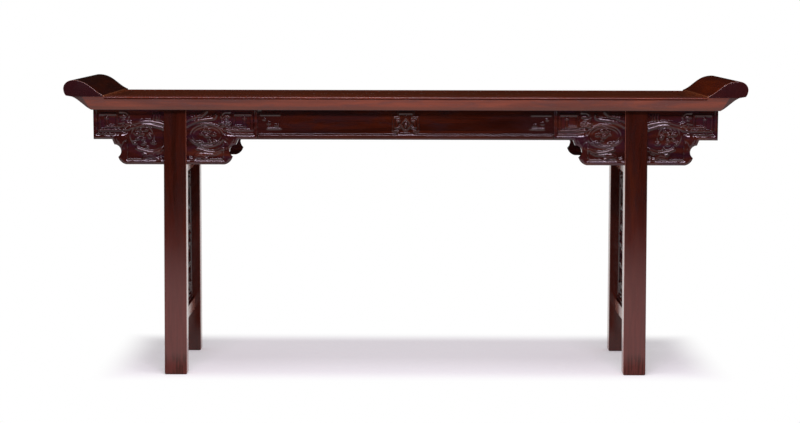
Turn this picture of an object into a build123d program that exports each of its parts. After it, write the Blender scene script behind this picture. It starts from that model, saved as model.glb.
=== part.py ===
from build123d import *
import os

os.makedirs("parts", exist_ok=True)

# Chinese altar table with recessed legs and everted end flanges, in polished rosewood.
# Millimetres. The origin is on the floor under the middle of the table: +X runs along its
# length to the right, +Y to its back, +Z up. "left" is -X and "front" is -Y.
# The frame of the top is two long rails that run through to the coved ends, two end rails
# tenoned between them, and a floating panel of two boards held flat by dovetailed battens.
# Each leg is forked at its top, and a cloud-shaped spandrel board passes through the fork.

# ---------------------------------------------------------------- tabletop
TOP_HEIGHT = 858.0          # floor to the upper face of the tabletop
TOP_THICKNESS = 40.0
TOP_DEPTH = 480.0
UNDERSIDE_LENGTH = 1906.0   # length of the underside, between the feet of the two coves
COVE_REACH = 55.0           # the coved end runs outward by this much on its way up
LONG_RAIL_WIDTH = 90.0
END_RAIL_WIDTH = 100.0      # measured on the underside, inward from the foot of the cove
EDGE_LEAN = 10.0            # the moulded edge leans in by this much at the underside
BEAD_HEIGHT = 5.0           # round bead along the upper arris
BEAD_PROUD = 1.2            # how far the bead stands out of its own corners
QUIRK_DEPTH = 2.0           # groove under the bead
QUIRK_HEIGHT = 2.0
END_TENON_LENGTH = 28.0
END_TENON_THICKNESS = 12.0
END_TENON_WIDTH = 56.0

# ---------------------------------------------------------------- floating panel and battens
PANEL_THICKNESS = 14.0
PANEL_TONGUE = 8.0          # how far the panel's tongue enters the frame
PANEL_TONGUE_THICKNESS = 6.0
PANEL_TONGUE_DROP = 5.0     # from the upper face to the top of the tongue
PANEL_SHADOW_GAP = 0.5      # seasonal gap round the panel and between its boards
BATTEN_COUNT = 5
BATTEN_END_DISTANCE = 233.0  # middle of the outermost batten inward from the end rail
BATTEN_WIDTH = 38.0
BATTEN_HEIGHT = 20.0
BATTEN_TENON = 12.0
BATTEN_TENON_SHOULDER = 4.0
DOVETAIL_HEIGHT = 5.0
DOVETAIL_NECK = 22.0
DOVETAIL_TOP = 28.0

# ---------------------------------------------------------------- everted flanges
FLANGE_OVERHANG = 27.0      # how far the roll passes the upper edge of the cove
FLANGE_WIDTH = 123.0        # from the toe on the tabletop to the outside of the roll
FLANGE_RISE = 50.0          # crest above the tabletop
FLANGE_TOE = 3.0            # thickness at the toe
FLANGE_CREST_INSET = 29.0   # crest inward from the outside of the roll
FLANGE_ROLL_DROP = 26.0     # outermost point of the roll below the crest
FLANGE_LIP_INSET = 7.0      # lower lip inward from the outside of the roll
FLANGE_LIP_RISE = 3.5       # lower lip above the tabletop
FLANGE_TONGUE_WIDTH = 12.0
FLANGE_TONGUE_DEPTH = 12.0
FLANGE_TONGUE_INSET = 48.0  # inward from the upper edge of the cove
FLANGE_ARRIS = 1.2

# ---------------------------------------------------------------- aprons and spandrels
APRON_SETBACK = 42.5        # face of the apron behind the edge of the tabletop
APRON_THICKNESS = 20.0
APRON_DEPTH = 91.5
SPANDREL_DEPTH = 168.5
SPANDREL_INNER_REACH = 251.0  # from the leg's middle line to the joint with the centre apron
SPANDREL_HALF_WIDTH = 192.5   # from the leg's middle line to where the spandrel starts to drop
UPPER_CUSP_IN = 6.5
UPPER_CUSP_DROP = 16.0
LOWER_CUSP_IN = 18.0
LOWER_CUSP_RISE = 23.0
BITE_SAG = 14.5             # depth of the round bite between the two cusps
SPANDREL_CORNER_IN = 42.5
BELLY_BULGE = 5.0
APRON_TONGUE_HEIGHT = 6.0   # tongue along the top edge, let into the rails
APRON_TONGUE_THICKNESS = 8.0
APRON_END_TONGUE = 8.0      # tongue between the centre apron and the spandrel boards

# ---------------------------------------------------------------- legs
LEG_WIDTH = 68.5
LEG_DEPTH = 46.0
LEG_INSET = 250.0           # middle of the leg inward from the foot of the cove, at the underside
LEG_FACE_SETBACK = 34.5     # face of the leg behind the edge of the tabletop, at the underside
LEG_SPLAY_LENGTHWAYS = 5.0  # each foot stands out by this much along the length
LEG_SPLAY_DEPTHWAYS = 12.5  # and by this much across the depth
LEG_TENON_HEIGHT = 22.0
LEG_TENON_WIDTH = 44.0
LEG_FRONT_TENON_THICKNESS = 4.5
LEG_REAR_TENON_THICKNESS = 10.0
LEG_ARRIS = 2.5
FOOT_ROUND = 5.0

# ---------------------------------------------------------------- side frames
STRETCHER_HEIGHT = 38.0
STRETCHER_THICKNESS = 30.0
LOWER_STRETCHER_BOTTOM = 140.0
STRETCHER_TENON_LENGTH = 26.0
STRETCHER_TENON_THICKNESS = 9.0
STRETCHER_TENON_CLEARANCE = 1.0   # wood left between a tenon and the groove for the side panel
STRETCHER_ARRIS = 1.5
SIDE_PANEL_THICKNESS = 16.0
SIDE_PANEL_TONGUE = 7.0
SIDE_PANEL_TONGUE_THICKNESS = 7.0

# ---------------------------------------------------------------- carving
CARVING_DEPTH = 4.5         # how far the ground is sunk below the boards' own faces
LIP_WIDTH = 13.0            # lip left standing along the boards' lower edges
FIELD_END_BORDER = 9.0      # border left at the boards' ends
FIELD_TOP_BORDER = 5.0      # and along their upper edges
FIELD_LEG_BORDER = 10.0     # flat land left beside each leg
LOBE_FIELD_HALF_WIDTH = 148.0  # from the leg's middle line to the upright edge of the lobe's field
KEY_BAND = 6.6              # width of the raised square key bands
KEY_END_INSET = 18.0        # outermost band of a key inward from its board's end
KEY_LIFT = 29.0             # lowest band of a key above the board's lower edge
KEY_HEIGHT = 48.0           # between the middles of the lowest and highest band
KEY_LENGTH = 54.0           # between the middles of the outermost and innermost band
KEY_STEP = 11.0             # from one turn of a key to the next
KEY_TAIL = 18.0             # the lowest band runs on towards the leg by this much
ROUNDEL_LIFT = 13.5         # middle of the roundels above the apron's lower edge
ROUNDEL_HALF_HEIGHT = 34.0
OUTER_ROUNDEL_HALF_WIDTH = 35.0
INNER_ROUNDEL_HALF_WIDTH = 52.0
OUTER_ROUNDEL_OFFSET = 101.0  # middle of the roundel from the leg's middle line
INNER_ROUNDEL_OFFSET = 96.0
RIBBON_BAND = 9.0           # width of the raised rings, ribbons and waves
APRON_KEY_REACH = 71.0      # far band of the centre apron's key from the board's end
APRON_KEY_LIFT = 33.5
APRON_KEY_HEIGHT = 42.0
MEDALLION_HALF_WIDTH = 37.0
MEDALLION_HALF_HEIGHT = 32.0
MEDALLION_LIFT = 49.0       # middle of the medallion above the apron's lower edge
END_KEY_INSET = 14.0        # far band of the end apron's key from the mitred corner
PANEL_BORDER = 11.0
PANEL_KEY_INSET = 19.0      # outermost band of a corner key from the panel's edge
PANEL_KEY_SIZE = 42.0
PANEL_RING_RADIUS = 58.0
PANEL_BOSS_RADIUS = 20.0
PANEL_CLOUD_LEVELS = (84.0, 134.0)  # cloud bands above and below the panel's middle
PANEL_CLOUD_REACH = 128.0
PANEL_CLOUD_BOW = 18.0

# ---------------------------------------------------------------- derived places
HALF_DEPTH = TOP_DEPTH / 2
UNDERSIDE_Z = TOP_HEIGHT - TOP_THICKNESS
COVE_FOOT_X = UNDERSIDE_LENGTH / 2
COVE_HEAD_X = COVE_FOOT_X + COVE_REACH
FLANGE_TIP_X = COVE_HEAD_X + FLANGE_OVERHANG
FLANGE_TOE_X = FLANGE_TIP_X - FLANGE_WIDTH
END_RAIL_INNER_X = COVE_FOOT_X - END_RAIL_WIDTH
PANEL_HALF_DEPTH = HALF_DEPTH - LONG_RAIL_WIDTH
PANEL_UNDERSIDE_Z = TOP_HEIGHT - PANEL_THICKNESS
APRON_FACE_Y = -HALF_DEPTH + APRON_SETBACK
APRON_BACK_Y = APRON_FACE_Y + APRON_THICKNESS
APRON_BOTTOM_Z = UNDERSIDE_Z - APRON_DEPTH
APRON_END_X = COVE_FOOT_X
LEG_TOP_X = COVE_FOOT_X - LEG_INSET
SPANDREL_INNER_X = LEG_TOP_X - SPANDREL_INNER_REACH
SPANDREL_BOTTOM_Z = UNDERSIDE_Z - SPANDREL_DEPTH
UPPER_STRETCHER_BOTTOM = SPANDREL_BOTTOM_Z - STRETCHER_HEIGHT
STRETCHER_TENON_HEIGHT = STRETCHER_HEIGHT - 2 * (SIDE_PANEL_TONGUE + STRETCHER_TENON_CLEARANCE)
SIDE_PANEL_BOTTOM = LOWER_STRETCHER_BOTTOM + STRETCHER_HEIGHT
SIDE_PANEL_MIDDLE = (SIDE_PANEL_BOTTOM + UPPER_STRETCHER_BOTTOM) / 2
BATTEN_OUTERMOST_X = END_RAIL_INNER_X - BATTEN_END_DISTANCE


def leg_x(z):
    """Middle of the right-hand legs, along the length, at height z."""
    return LEG_TOP_X + LEG_SPLAY_LENGTHWAYS * (1 - z / UNDERSIDE_Z)


def leg_face_y(z):
    """Outer face of the front legs at height z."""
    return -HALF_DEPTH + LEG_FACE_SETBACK - LEG_SPLAY_DEPTHWAYS * (1 - z / UNDERSIDE_Z)


def leg_rear_y(z):
    """Face of the front legs that looks into the table, at height z."""
    return leg_face_y(z) + LEG_DEPTH


# ---------------------------------------------------------------- helpers
def block(x0, x1, y0, y1, z0, z1):
    """A rectangular block between two corners."""
    middle = Pos((x0 + x1) / 2, (y0 + y1) / 2, (z0 + z1) / 2)
    return middle * Box(x1 - x0, y1 - y0, z1 - z0)


def along_y(outline, y0, y1):
    """Extrude a closed outline drawn in X and Z from y0 to y1."""
    plane = Plane.XZ.offset(-y0)
    return extrude(plane * make_face(outline), amount=-(y1 - y0))


def along_x(outline, x0, x1):
    """Extrude a closed outline drawn in Y and Z from x0 to x1."""
    plane = Plane.YZ.offset(x0)
    return extrude(plane * make_face(outline), amount=x1 - x0)


def bowed(start, end, sag):
    """An arc from start to end that bows out to the left of its way by sag."""
    a = Vector(*start)
    b = Vector(*end)
    way = (b - a).normalized()
    left = Vector(-way.Y, way.X)
    return ThreePointArc(a, (a + b) * 0.5 + left * sag, b)


def sunk_from_front(sketch):
    """A sketch in X and Z as a solid that sinks into the front boards' face."""
    return extrude(Plane.XZ.offset(-APRON_FACE_Y) * sketch, amount=-CARVING_DEPTH)


def sunk_from_right(sketch, face_x):
    """A sketch in Y and Z as a solid that sinks into a face that looks to the right."""
    return extrude(Plane.YZ.offset(face_x) * sketch, amount=-CARVING_DEPTH)


def let_in(host, *guests):
    """Cut the guests' own shapes out of the piece that receives them."""
    for guest in guests:
        host = host - guest
    return host


def to_place(piece, face, side):
    """Take a piece made at the front right to its own corner of the table."""
    if face == "back" and side == "left":
        return Rot(0, 0, 180) * piece
    if face == "back":
        return mirror(piece, about=Plane.XZ)
    if side == "left":
        return mirror(piece, about=Plane.YZ)
    return piece


# ---------------------------------------------------------------- outlines
def cove_line(sign):
    """Coved end of the top, from its head at the tabletop down to its foot."""
    head = (sign * COVE_HEAD_X, TOP_HEIGHT)
    foot = (sign * COVE_FOOT_X, UNDERSIDE_Z)
    return Spline(head, foot, tangents=((-sign * 1.0, -0.45), (-sign * 1.0, -0.5)))


def top_silhouette():
    """The top's outline in X and Z: flat above and below, with a cove at each end."""
    upper = Line((-COVE_HEAD_X, TOP_HEIGHT), (COVE_HEAD_X, TOP_HEIGHT))
    lower = Line((-COVE_FOOT_X, UNDERSIDE_Z), (COVE_FOOT_X, UNDERSIDE_Z))
    return upper + cove_line(1) + lower + cove_line(-1)


def long_rail_section():
    """Section of the front rail in Y and Z, with its bead, quirk and leaning face."""
    edge = -HALF_DEPTH
    inner = edge + LONG_RAIL_WIDTH
    bead_foot = TOP_HEIGHT - BEAD_HEIGHT
    quirk_foot = bead_foot - QUIRK_HEIGHT
    corner = edge + BEAD_PROUD
    bead = ThreePointArc((corner, TOP_HEIGHT), (edge, (TOP_HEIGHT + bead_foot) / 2), (corner, bead_foot))
    rest = Polyline(
        (corner, bead_foot),
        (corner + QUIRK_DEPTH, bead_foot),
        (corner + QUIRK_DEPTH, quirk_foot),
        (corner, quirk_foot),
        (edge + EDGE_LEAN, UNDERSIDE_Z),
        (inner, UNDERSIDE_Z),
        (inner, TOP_HEIGHT),
        (corner, TOP_HEIGHT),
    )
    return bead + rest


def plain_rail_section():
    """Section of the front rail under a flange, where the leaning face runs up without a bead."""
    edge = -HALF_DEPTH
    inner = edge + LONG_RAIL_WIDTH
    return Polyline(
        (edge, TOP_HEIGHT),
        (edge + EDGE_LEAN, UNDERSIDE_Z),
        (inner, UNDERSIDE_Z),
        (inner, TOP_HEIGHT),
        (edge, TOP_HEIGHT),
    )


def flange_outline():
    """Section of the right-hand flange in X and Z: an S-shaped rise, a roll and a flat sole."""
    toe = (FLANGE_TOE_X, TOP_HEIGHT + FLANGE_TOE)
    crest = (FLANGE_TIP_X - FLANGE_CREST_INSET, TOP_HEIGHT + FLANGE_RISE)
    lip = (FLANGE_TIP_X - FLANGE_LIP_INSET, TOP_HEIGHT + FLANGE_LIP_RISE)
    heel = (COVE_HEAD_X, TOP_HEIGHT)
    sole_toe = (FLANGE_TOE_X, TOP_HEIGHT)
    tip = (FLANGE_TIP_X, crest[1] - FLANGE_ROLL_DROP)
    rise = Spline(toe, crest, tangents=((1.0, 0.38), (1.0, 0.0)))
    shoulder = EllipticalCenterArc(
        (crest[0], tip[1]), FLANGE_CREST_INSET, FLANGE_ROLL_DROP, start_angle=0, arc_size=90
    )
    cheek = TangentArc(tip, lip, tangent=(0.0, -1.0))
    sole = Polyline(lip, heel, sole_toe, toe)
    return rise + shoulder + cheek + sole


def spandrel_half(sign, reach):
    """Lower edge of one half of a spandrel board, from its end in to the leg's middle line."""
    middle = leg_x(SPANDREL_BOTTOM_Z)

    def at(inset, z):
        return (middle + sign * (SPANDREL_HALF_WIDTH - inset), z)

    end = (reach, APRON_BOTTOM_Z)
    step = at(0, APRON_BOTTOM_Z)
    upper_cusp = at(UPPER_CUSP_IN, APRON_BOTTOM_Z - UPPER_CUSP_DROP)
    lower_cusp = at(LOWER_CUSP_IN, SPANDREL_BOTTOM_Z + LOWER_CUSP_RISE)
    corner = at(SPANDREL_CORNER_IN, SPANDREL_BOTTOM_Z)
    bottom = (middle, SPANDREL_BOTTOM_Z)
    bite = bowed(upper_cusp, lower_cusp, -sign * BITE_SAG)
    belly = bowed(lower_cusp, corner, sign * BELLY_BULGE)
    return Polyline(end, step, upper_cusp) + bite + belly + Line(corner, bottom)


def spandrel_outline():
    """A whole spandrel board of the right-hand side, in X and Z."""
    ends = Polyline(
        (SPANDREL_INNER_X, APRON_BOTTOM_Z),
        (SPANDREL_INNER_X, UNDERSIDE_Z),
        (APRON_END_X, UNDERSIDE_Z),
        (APRON_END_X, APRON_BOTTOM_Z),
    )
    return ends + spandrel_half(1, APRON_END_X) + spandrel_half(-1, SPANDREL_INNER_X)


def key_run(far_x, near_x, low, high, tail_x, towards):
    """Middle line of a square key: in from its tail, round the outside and in to its heart."""
    turn = KEY_STEP * towards
    return Polyline(
        (tail_x, low),
        (far_x, low),
        (far_x, high),
        (near_x, high),
        (near_x, low + KEY_STEP),
        (far_x - 2 * turn, low + KEY_STEP),
        (far_x - 2 * turn, high - KEY_STEP),
    )


def key_band(run):
    """A raised band of one width along a key's middle line."""
    return trace(run, line_width=KEY_BAND)


def ribbon(start, end, sag):
    """A raised ribbon from start to end that bows to the left of its way by sag."""
    return trace(bowed(start, end, sag), line_width=RIBBON_BAND)


def ring(half_width, half_height):
    """A raised oval ring about the origin."""
    half = RIBBON_BAND / 2
    outside = Ellipse(half_width + half, half_height + half)
    return outside - Ellipse(half_width - half, half_height - half)


def area(x0, x1, z0, z1):
    """A rectangle between two corners."""
    return Pos((x0 + x1) / 2, (z0 + z1) / 2) * Rectangle(x1 - x0, z1 - z0)


def lobe_carving(sign):
    """What is left standing in one half of a spandrel board's lobe."""
    middle = leg_x(SPANDREL_BOTTOM_Z)
    outer = sign > 0
    width = OUTER_ROUNDEL_HALF_WIDTH if outer else INNER_ROUNDEL_HALF_WIDTH
    offset = OUTER_ROUNDEL_OFFSET if outer else INNER_ROUNDEL_OFFSET

    def at(out, lift):
        return (middle + sign * out, APRON_BOTTOM_Z + lift)

    made = Pos(*at(offset, ROUNDEL_LIFT)) * ring(width, ROUNDEL_HALF_HEIGHT)
    made = made + ribbon(at(36, -24), at(122, -26), sign * -8)
    if outer:
        return made + ribbon(at(36, 48), at(150, 44), sign * 9)
    return made + ribbon(at(36, 43), at(142, 82), sign * -6)


def spandrel_ground():
    """The sunk ground of a spandrel board's face: two fields, less what stands in them."""
    middle = leg_x(SPANDREL_BOTTOM_Z)
    land = LEG_WIDTH / 2 + FIELD_LEG_BORDER
    top = UNDERSIDE_Z - FIELD_TOP_BORDER
    low = APRON_BOTTOM_Z + LIP_WIDTH
    deep = SPANDREL_BOTTOM_Z + LIP_WIDTH
    key_low = APRON_BOTTOM_Z + KEY_LIFT
    key_high = key_low + KEY_HEIGHT
    ground = Sketch()
    for sign, end in ((1, APRON_END_X), (-1, SPANDREL_INNER_X)):
        near = middle + sign * land
        lobe = middle + sign * LOBE_FIELD_HALF_WIDTH
        far = end - sign * FIELD_END_BORDER
        key_far = end - sign * KEY_END_INSET
        key_near = key_far - sign * KEY_LENGTH
        key = key_run(key_far, key_near, key_low, key_high, key_near - sign * KEY_TAIL, sign)
        field = area(min(near, far), max(near, far), low, top)
        field = field + area(min(near, lobe), max(near, lobe), deep, top)
        ground = ground + (field - key_band(key) - lobe_carving(sign))
    return ground


def apron_ground():
    """The sunk ground of the centre apron's face, less its end keys and its medallion."""
    reach = SPANDREL_INNER_X - FIELD_END_BORDER
    ground = area(-reach, reach, APRON_BOTTOM_Z + LIP_WIDTH, UNDERSIDE_Z - FIELD_TOP_BORDER)
    low = APRON_BOTTOM_Z + APRON_KEY_LIFT
    high = low + APRON_KEY_HEIGHT
    for sign in (1, -1):
        far = sign * (SPANDREL_INNER_X - APRON_KEY_REACH)
        near = far + sign * 4 * KEY_STEP
        hook = Polyline((sign * reach, high), (far, high), (far, low), (near, low), (near, low + KEY_STEP))
        ground = ground - key_band(hook)
    middle = Pos(0, APRON_BOTTOM_Z + MEDALLION_LIFT)
    half = KEY_BAND / 2
    frame = Rectangle(2 * (MEDALLION_HALF_WIDTH + half), 2 * (MEDALLION_HALF_HEIGHT + half))
    opening = Rectangle(2 * (MEDALLION_HALF_WIDTH - half), 2 * (MEDALLION_HALF_HEIGHT - half))
    return ground - middle * (frame - opening)


def end_apron_ground():
    """The sunk ground of an end apron's face in Y and Z, less the key at each end."""
    reach = -APRON_FACE_Y - FIELD_END_BORDER
    ground = area(-reach, reach, APRON_BOTTOM_Z + LIP_WIDTH, UNDERSIDE_Z - FIELD_TOP_BORDER)
    low = APRON_BOTTOM_Z + KEY_LIFT
    for sign in (1, -1):
        far = sign * (-APRON_FACE_Y - END_KEY_INSET)
        near = far - sign * KEY_LENGTH
        key = key_run(far, near, low, low + KEY_HEIGHT, near - sign * KEY_TAIL, sign)
        ground = ground - key_band(key)
    return ground


def panel_ground():
    """The sunk ground of a side panel's faces in Y and Z, less what stands in it."""
    z0 = SIDE_PANEL_BOTTOM + PANEL_BORDER
    z1 = UPPER_STRETCHER_BOTTOM - PANEL_BORDER
    y0 = leg_rear_y(z0) + PANEL_BORDER
    y1 = leg_rear_y(z1) + PANEL_BORDER
    ground = make_face(Polyline((y0, z0), (y1, z1), (-y1, z1), (-y0, z0), (y0, z0)))
    corner_y = -leg_rear_y(z1) - PANEL_KEY_INSET
    corner_z = (UPPER_STRETCHER_BOTTOM - SIDE_PANEL_BOTTOM) / 2 - PANEL_KEY_INSET
    raised = ring(PANEL_RING_RADIUS, PANEL_RING_RADIUS) + Circle(PANEL_BOSS_RADIUS)
    for up in (1, -1):
        for level in PANEL_CLOUD_LEVELS:
            start = (-PANEL_CLOUD_REACH, up * (level - PANEL_CLOUD_BOW))
            end = (PANEL_CLOUD_REACH, up * (level - PANEL_CLOUD_BOW))
            raised = raised + ribbon(start, end, up * PANEL_CLOUD_BOW)
        for across in (1, -1):
            far = across * corner_y
            near = far - across * PANEL_KEY_SIZE
            high = up * corner_z
            low = high - up * PANEL_KEY_SIZE
            step = up * KEY_STEP
            key = Polyline(
                (near, high),
                (far, high),
                (far, low),
                (near + across * KEY_STEP, low),
                (near + across * KEY_STEP, high - step),
                (far - across * KEY_STEP, high - step),
            )
            raised = raised + key_band(key)
    return ground - Pos(0, SIDE_PANEL_MIDDLE) * raised


def corner_mitre():
    """Plan area of the front right corner that belongs to the front board, as a tall block."""
    outer = Vector(APRON_END_X, APRON_FACE_Y)
    inner = Vector(APRON_END_X - APRON_THICKNESS, APRON_BACK_Y)
    plan = Polyline(
        (outer.X, outer.Y),
        (inner.X, inner.Y),
        (0, inner.Y),
        (0, outer.Y),
        (outer.X, outer.Y),
    )
    return extrude(make_face(plan), amount=TOP_HEIGHT)


# ---------------------------------------------------------------- pieces at the front right
def leg_blank():
    """The leg before its fork, mortises and grooves are cut: a splayed post of one section."""
    foot = Pos(leg_x(0), leg_face_y(0) + LEG_DEPTH / 2, 0)
    head = Pos(leg_x(UNDERSIDE_Z), leg_face_y(UNDERSIDE_Z) + LEG_DEPTH / 2, UNDERSIDE_Z)
    section = Rectangle(LEG_WIDTH, LEG_DEPTH)
    post = loft([foot * section, head * section], ruled=True)
    long_edges = [e for e in post.edges() if abs(e.tangent_at(0.5).Z) > 0.9]
    post = fillet(long_edges, radius=LEG_ARRIS)
    sole = post.faces().sort_by(Axis.Z)[0]
    return fillet(sole.edges(), radius=FOOT_ROUND)


def leg_tenons():
    """Two tenons on the fork's cheeks, one before and one behind the board in the fork."""
    face = leg_face_y(UNDERSIDE_Z)
    front_cheek = (face + APRON_FACE_Y) / 2
    rear_cheek = (APRON_BACK_Y + face + LEG_DEPTH) / 2
    x0 = LEG_TOP_X - LEG_TENON_WIDTH / 2
    x1 = LEG_TOP_X + LEG_TENON_WIDTH / 2
    z1 = UNDERSIDE_Z + LEG_TENON_HEIGHT
    tenons = []
    for y, thickness in ((front_cheek, LEG_FRONT_TENON_THICKNESS), (rear_cheek, LEG_REAR_TENON_THICKNESS)):
        tenons.append(block(x0, x1, y - thickness / 2, y + thickness / 2, UNDERSIDE_Z, z1))
    return tenons


def apron_tongue(x0, x1):
    """The tongue along a board's upper edge, which the long rail receives."""
    middle = (APRON_FACE_Y + APRON_BACK_Y) / 2
    half = APRON_TONGUE_THICKNESS / 2
    return block(x0, x1, middle - half, middle + half, UNDERSIDE_Z, UNDERSIDE_Z + APRON_TONGUE_HEIGHT)


def centre_apron():
    """Straight board between the spandrel boards, with a tongue at each end and along the top."""
    x = SPANDREL_INNER_X
    middle = (APRON_FACE_Y + APRON_BACK_Y) / 2
    half = APRON_TONGUE_THICKNESS / 2
    board = block(-x, x, APRON_FACE_Y, APRON_BACK_Y, APRON_BOTTOM_Z, UNDERSIDE_Z)
    reach = x + APRON_END_TONGUE
    low = APRON_BOTTOM_Z + APRON_END_TONGUE
    high = UNDERSIDE_Z - APRON_END_TONGUE
    end_tongues = block(-reach, reach, middle - half, middle + half, low, high)
    board = let_in(board, sunk_from_front(apron_ground()))
    return board + end_tongues + apron_tongue(-x, x)


def spandrel_board(apron):
    """Cloud-shaped board that passes through the leg's fork and is mitred at its outer end."""
    board = along_y(spandrel_outline(), APRON_FACE_Y, APRON_BACK_Y)
    board = let_in(board & corner_mitre(), sunk_from_front(spandrel_ground()))
    board = board + apron_tongue(SPANDREL_INNER_X, APRON_END_X - APRON_THICKNESS)
    return let_in(board, apron)


def end_apron():
    """Short board across the right-hand end, mitred to the front and back spandrel boards."""
    outer = APRON_END_X
    inner = APRON_END_X - APRON_THICKNESS
    plan = Polyline(
        (outer, APRON_FACE_Y),
        (outer, -APRON_FACE_Y),
        (inner, -APRON_BACK_Y),
        (inner, APRON_BACK_Y),
        (outer, APRON_FACE_Y),
    )
    board = Pos(0, 0, APRON_BOTTOM_Z) * extrude(make_face(plan), amount=APRON_DEPTH)
    return let_in(board, sunk_from_right(end_apron_ground(), APRON_END_X))


def side_stretcher(bottom):
    """Rail between the front and back legs of the right-hand side, without its tenons."""
    middle = leg_x(bottom + STRETCHER_HEIGHT / 2)
    half = STRETCHER_THICKNESS / 2
    reach = -leg_rear_y(bottom) + LEG_DEPTH / 2
    rail = block(middle - half, middle + half, -reach, reach, bottom, bottom + STRETCHER_HEIGHT)
    long_edges = rail.edges().filter_by(Axis.Y)
    rail = fillet(long_edges, radius=STRETCHER_ARRIS)
    return let_in(rail, BLANK_FRONT, BLANK_BACK)


def side_stretcher_tenons(bottom):
    """One long block that is both tenons of a side stretcher, with its core between them."""
    middle_z = bottom + STRETCHER_HEIGHT / 2
    middle_x = leg_x(middle_z)
    reach = -leg_rear_y(middle_z) + STRETCHER_TENON_LENGTH
    half_x = STRETCHER_TENON_THICKNESS / 2
    half_z = STRETCHER_TENON_HEIGHT / 2
    return block(middle_x - half_x, middle_x + half_x, -reach, reach, middle_z - half_z, middle_z + half_z)


def side_panel_sheet(thickness, grow):
    """A sheet that fills a side frame's opening and passes its edges by grow."""
    z0 = SIDE_PANEL_BOTTOM - grow
    z1 = UPPER_STRETCHER_BOTTOM + grow
    y0 = leg_rear_y(z0) - grow
    y1 = leg_rear_y(z1) - grow
    middle = leg_x(SIDE_PANEL_MIDDLE)
    outline = Polyline((y0, z0), (y1, z1), (-y1, z1), (-y0, z0), (y0, z0))
    return along_x(outline, middle - thickness / 2, middle + thickness / 2)


def side_panel():
    """Board that fills a side frame, with a tongue round it in the legs and stretchers."""
    field = side_panel_sheet(SIDE_PANEL_THICKNESS, 0)
    middle = leg_x(SIDE_PANEL_MIDDLE)
    outer_face = middle + SIDE_PANEL_THICKNESS / 2
    ground = panel_ground()
    inner_ground = Pos(CARVING_DEPTH - SIDE_PANEL_THICKNESS, 0, 0) * sunk_from_right(ground, outer_face)
    field = let_in(field, sunk_from_right(ground, outer_face), inner_ground)
    tongue = side_panel_sheet(SIDE_PANEL_TONGUE_THICKNESS, SIDE_PANEL_TONGUE)
    return field + tongue


# ---------------------------------------------------------------- pieces of the top
def batten(x):
    """Cross batten under the panel, with a dovetail along its top and a tenon at each end."""
    y = PANEL_HALF_DEPTH
    z1 = PANEL_UNDERSIDE_Z
    z0 = z1 - BATTEN_HEIGHT
    half = BATTEN_WIDTH / 2
    bar = block(x - half, x + half, -y, y, z0, z1)
    shoulder = BATTEN_TENON_SHOULDER
    reach = y + BATTEN_TENON
    tenon = block(x - half + shoulder, x + half - shoulder, -reach, reach, z0 + shoulder, z1 - shoulder)
    neck = DOVETAIL_NECK / 2
    wide = DOVETAIL_TOP / 2
    z2 = z1 + DOVETAIL_HEIGHT
    tail = Polyline((x - neck, z1), (x - wide, z2), (x + wide, z2), (x + neck, z1), (x - neck, z1))
    inset = y - PANEL_SHADOW_GAP
    return bar + tenon + along_y(tail, -inset, inset)


def panel_tongue_levels():
    """Lower and upper level of the panel's tongue."""
    z1 = TOP_HEIGHT - PANEL_TONGUE_DROP
    return z1 - PANEL_TONGUE_THICKNESS, z1


def panel_board(front):
    """Front or back board of the floating panel, tongued into the frame on three sides."""
    x = END_RAIL_INNER_X - PANEL_SHADOW_GAP
    y = PANEL_HALF_DEPTH - PANEL_SHADOW_GAP
    seam = PANEL_SHADOW_GAP / 2
    z0, z1 = panel_tongue_levels()
    board = block(-x, x, -y, -seam, PANEL_UNDERSIDE_Z, TOP_HEIGHT)
    reach = PANEL_TONGUE
    tongue = block(-x - reach, x + reach, -y - reach, -seam, z0, z1)
    board = board + tongue
    if front:
        return board + block(-x, x, -seam, reach, z0, z1)
    board = mirror(board, about=Plane.XZ)
    return board - block(-x - reach, x + reach, 0, reach, z0, z1)


def panel_grooves():
    """The room that the floating panel's tongue has in the frame."""
    gap = PANEL_SHADOW_GAP
    x = END_RAIL_INNER_X + PANEL_TONGUE + gap
    y = PANEL_HALF_DEPTH + PANEL_TONGUE + gap
    z0, z1 = panel_tongue_levels()
    return block(-x, x, -y, y, z0, z1)


def flange():
    """Everted flange of the right-hand end, with a hidden tongue in the end rail."""
    body = along_y(flange_outline(), -HALF_DEPTH, HALF_DEPTH)
    ends = body.edges().filter_by(Plane.XZ).filter_by(lambda e: e.center().Z > TOP_HEIGHT + FLANGE_TOE)
    body = fillet(ends, radius=FLANGE_ARRIS)
    x1 = COVE_HEAD_X - FLANGE_TONGUE_INSET
    x0 = x1 - FLANGE_TONGUE_WIDTH
    y = PANEL_HALF_DEPTH - END_TENON_LENGTH
    return body + block(x0, x1, -y, y, TOP_HEIGHT - FLANGE_TONGUE_DEPTH, TOP_HEIGHT)


def end_rail_tenons():
    """The core of the right-hand end rail, long enough to be the tenon at both of its ends."""
    reach = PANEL_HALF_DEPTH + END_TENON_LENGTH
    x0 = END_RAIL_INNER_X + PANEL_TONGUE * 2
    x1 = x0 + END_TENON_WIDTH
    z0 = UNDERSIDE_Z + END_TENON_THICKNESS / 2
    return block(x0, x1, -reach, reach, z0, z0 + END_TENON_THICKNESS)


def end_rail(flange_piece):
    """Right-hand end rail, coved on its outer side and tenoned between the long rails."""
    y = PANEL_HALF_DEPTH
    inner_half = block(END_RAIL_INNER_X, FLANGE_TIP_X, -y, y, UNDERSIDE_Z, TOP_HEIGHT)
    rail = along_y(top_silhouette(), -y, y) & inner_half
    rail = rail + end_rail_tenons()
    return let_in(rail, panel_grooves(), flange_piece)


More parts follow.
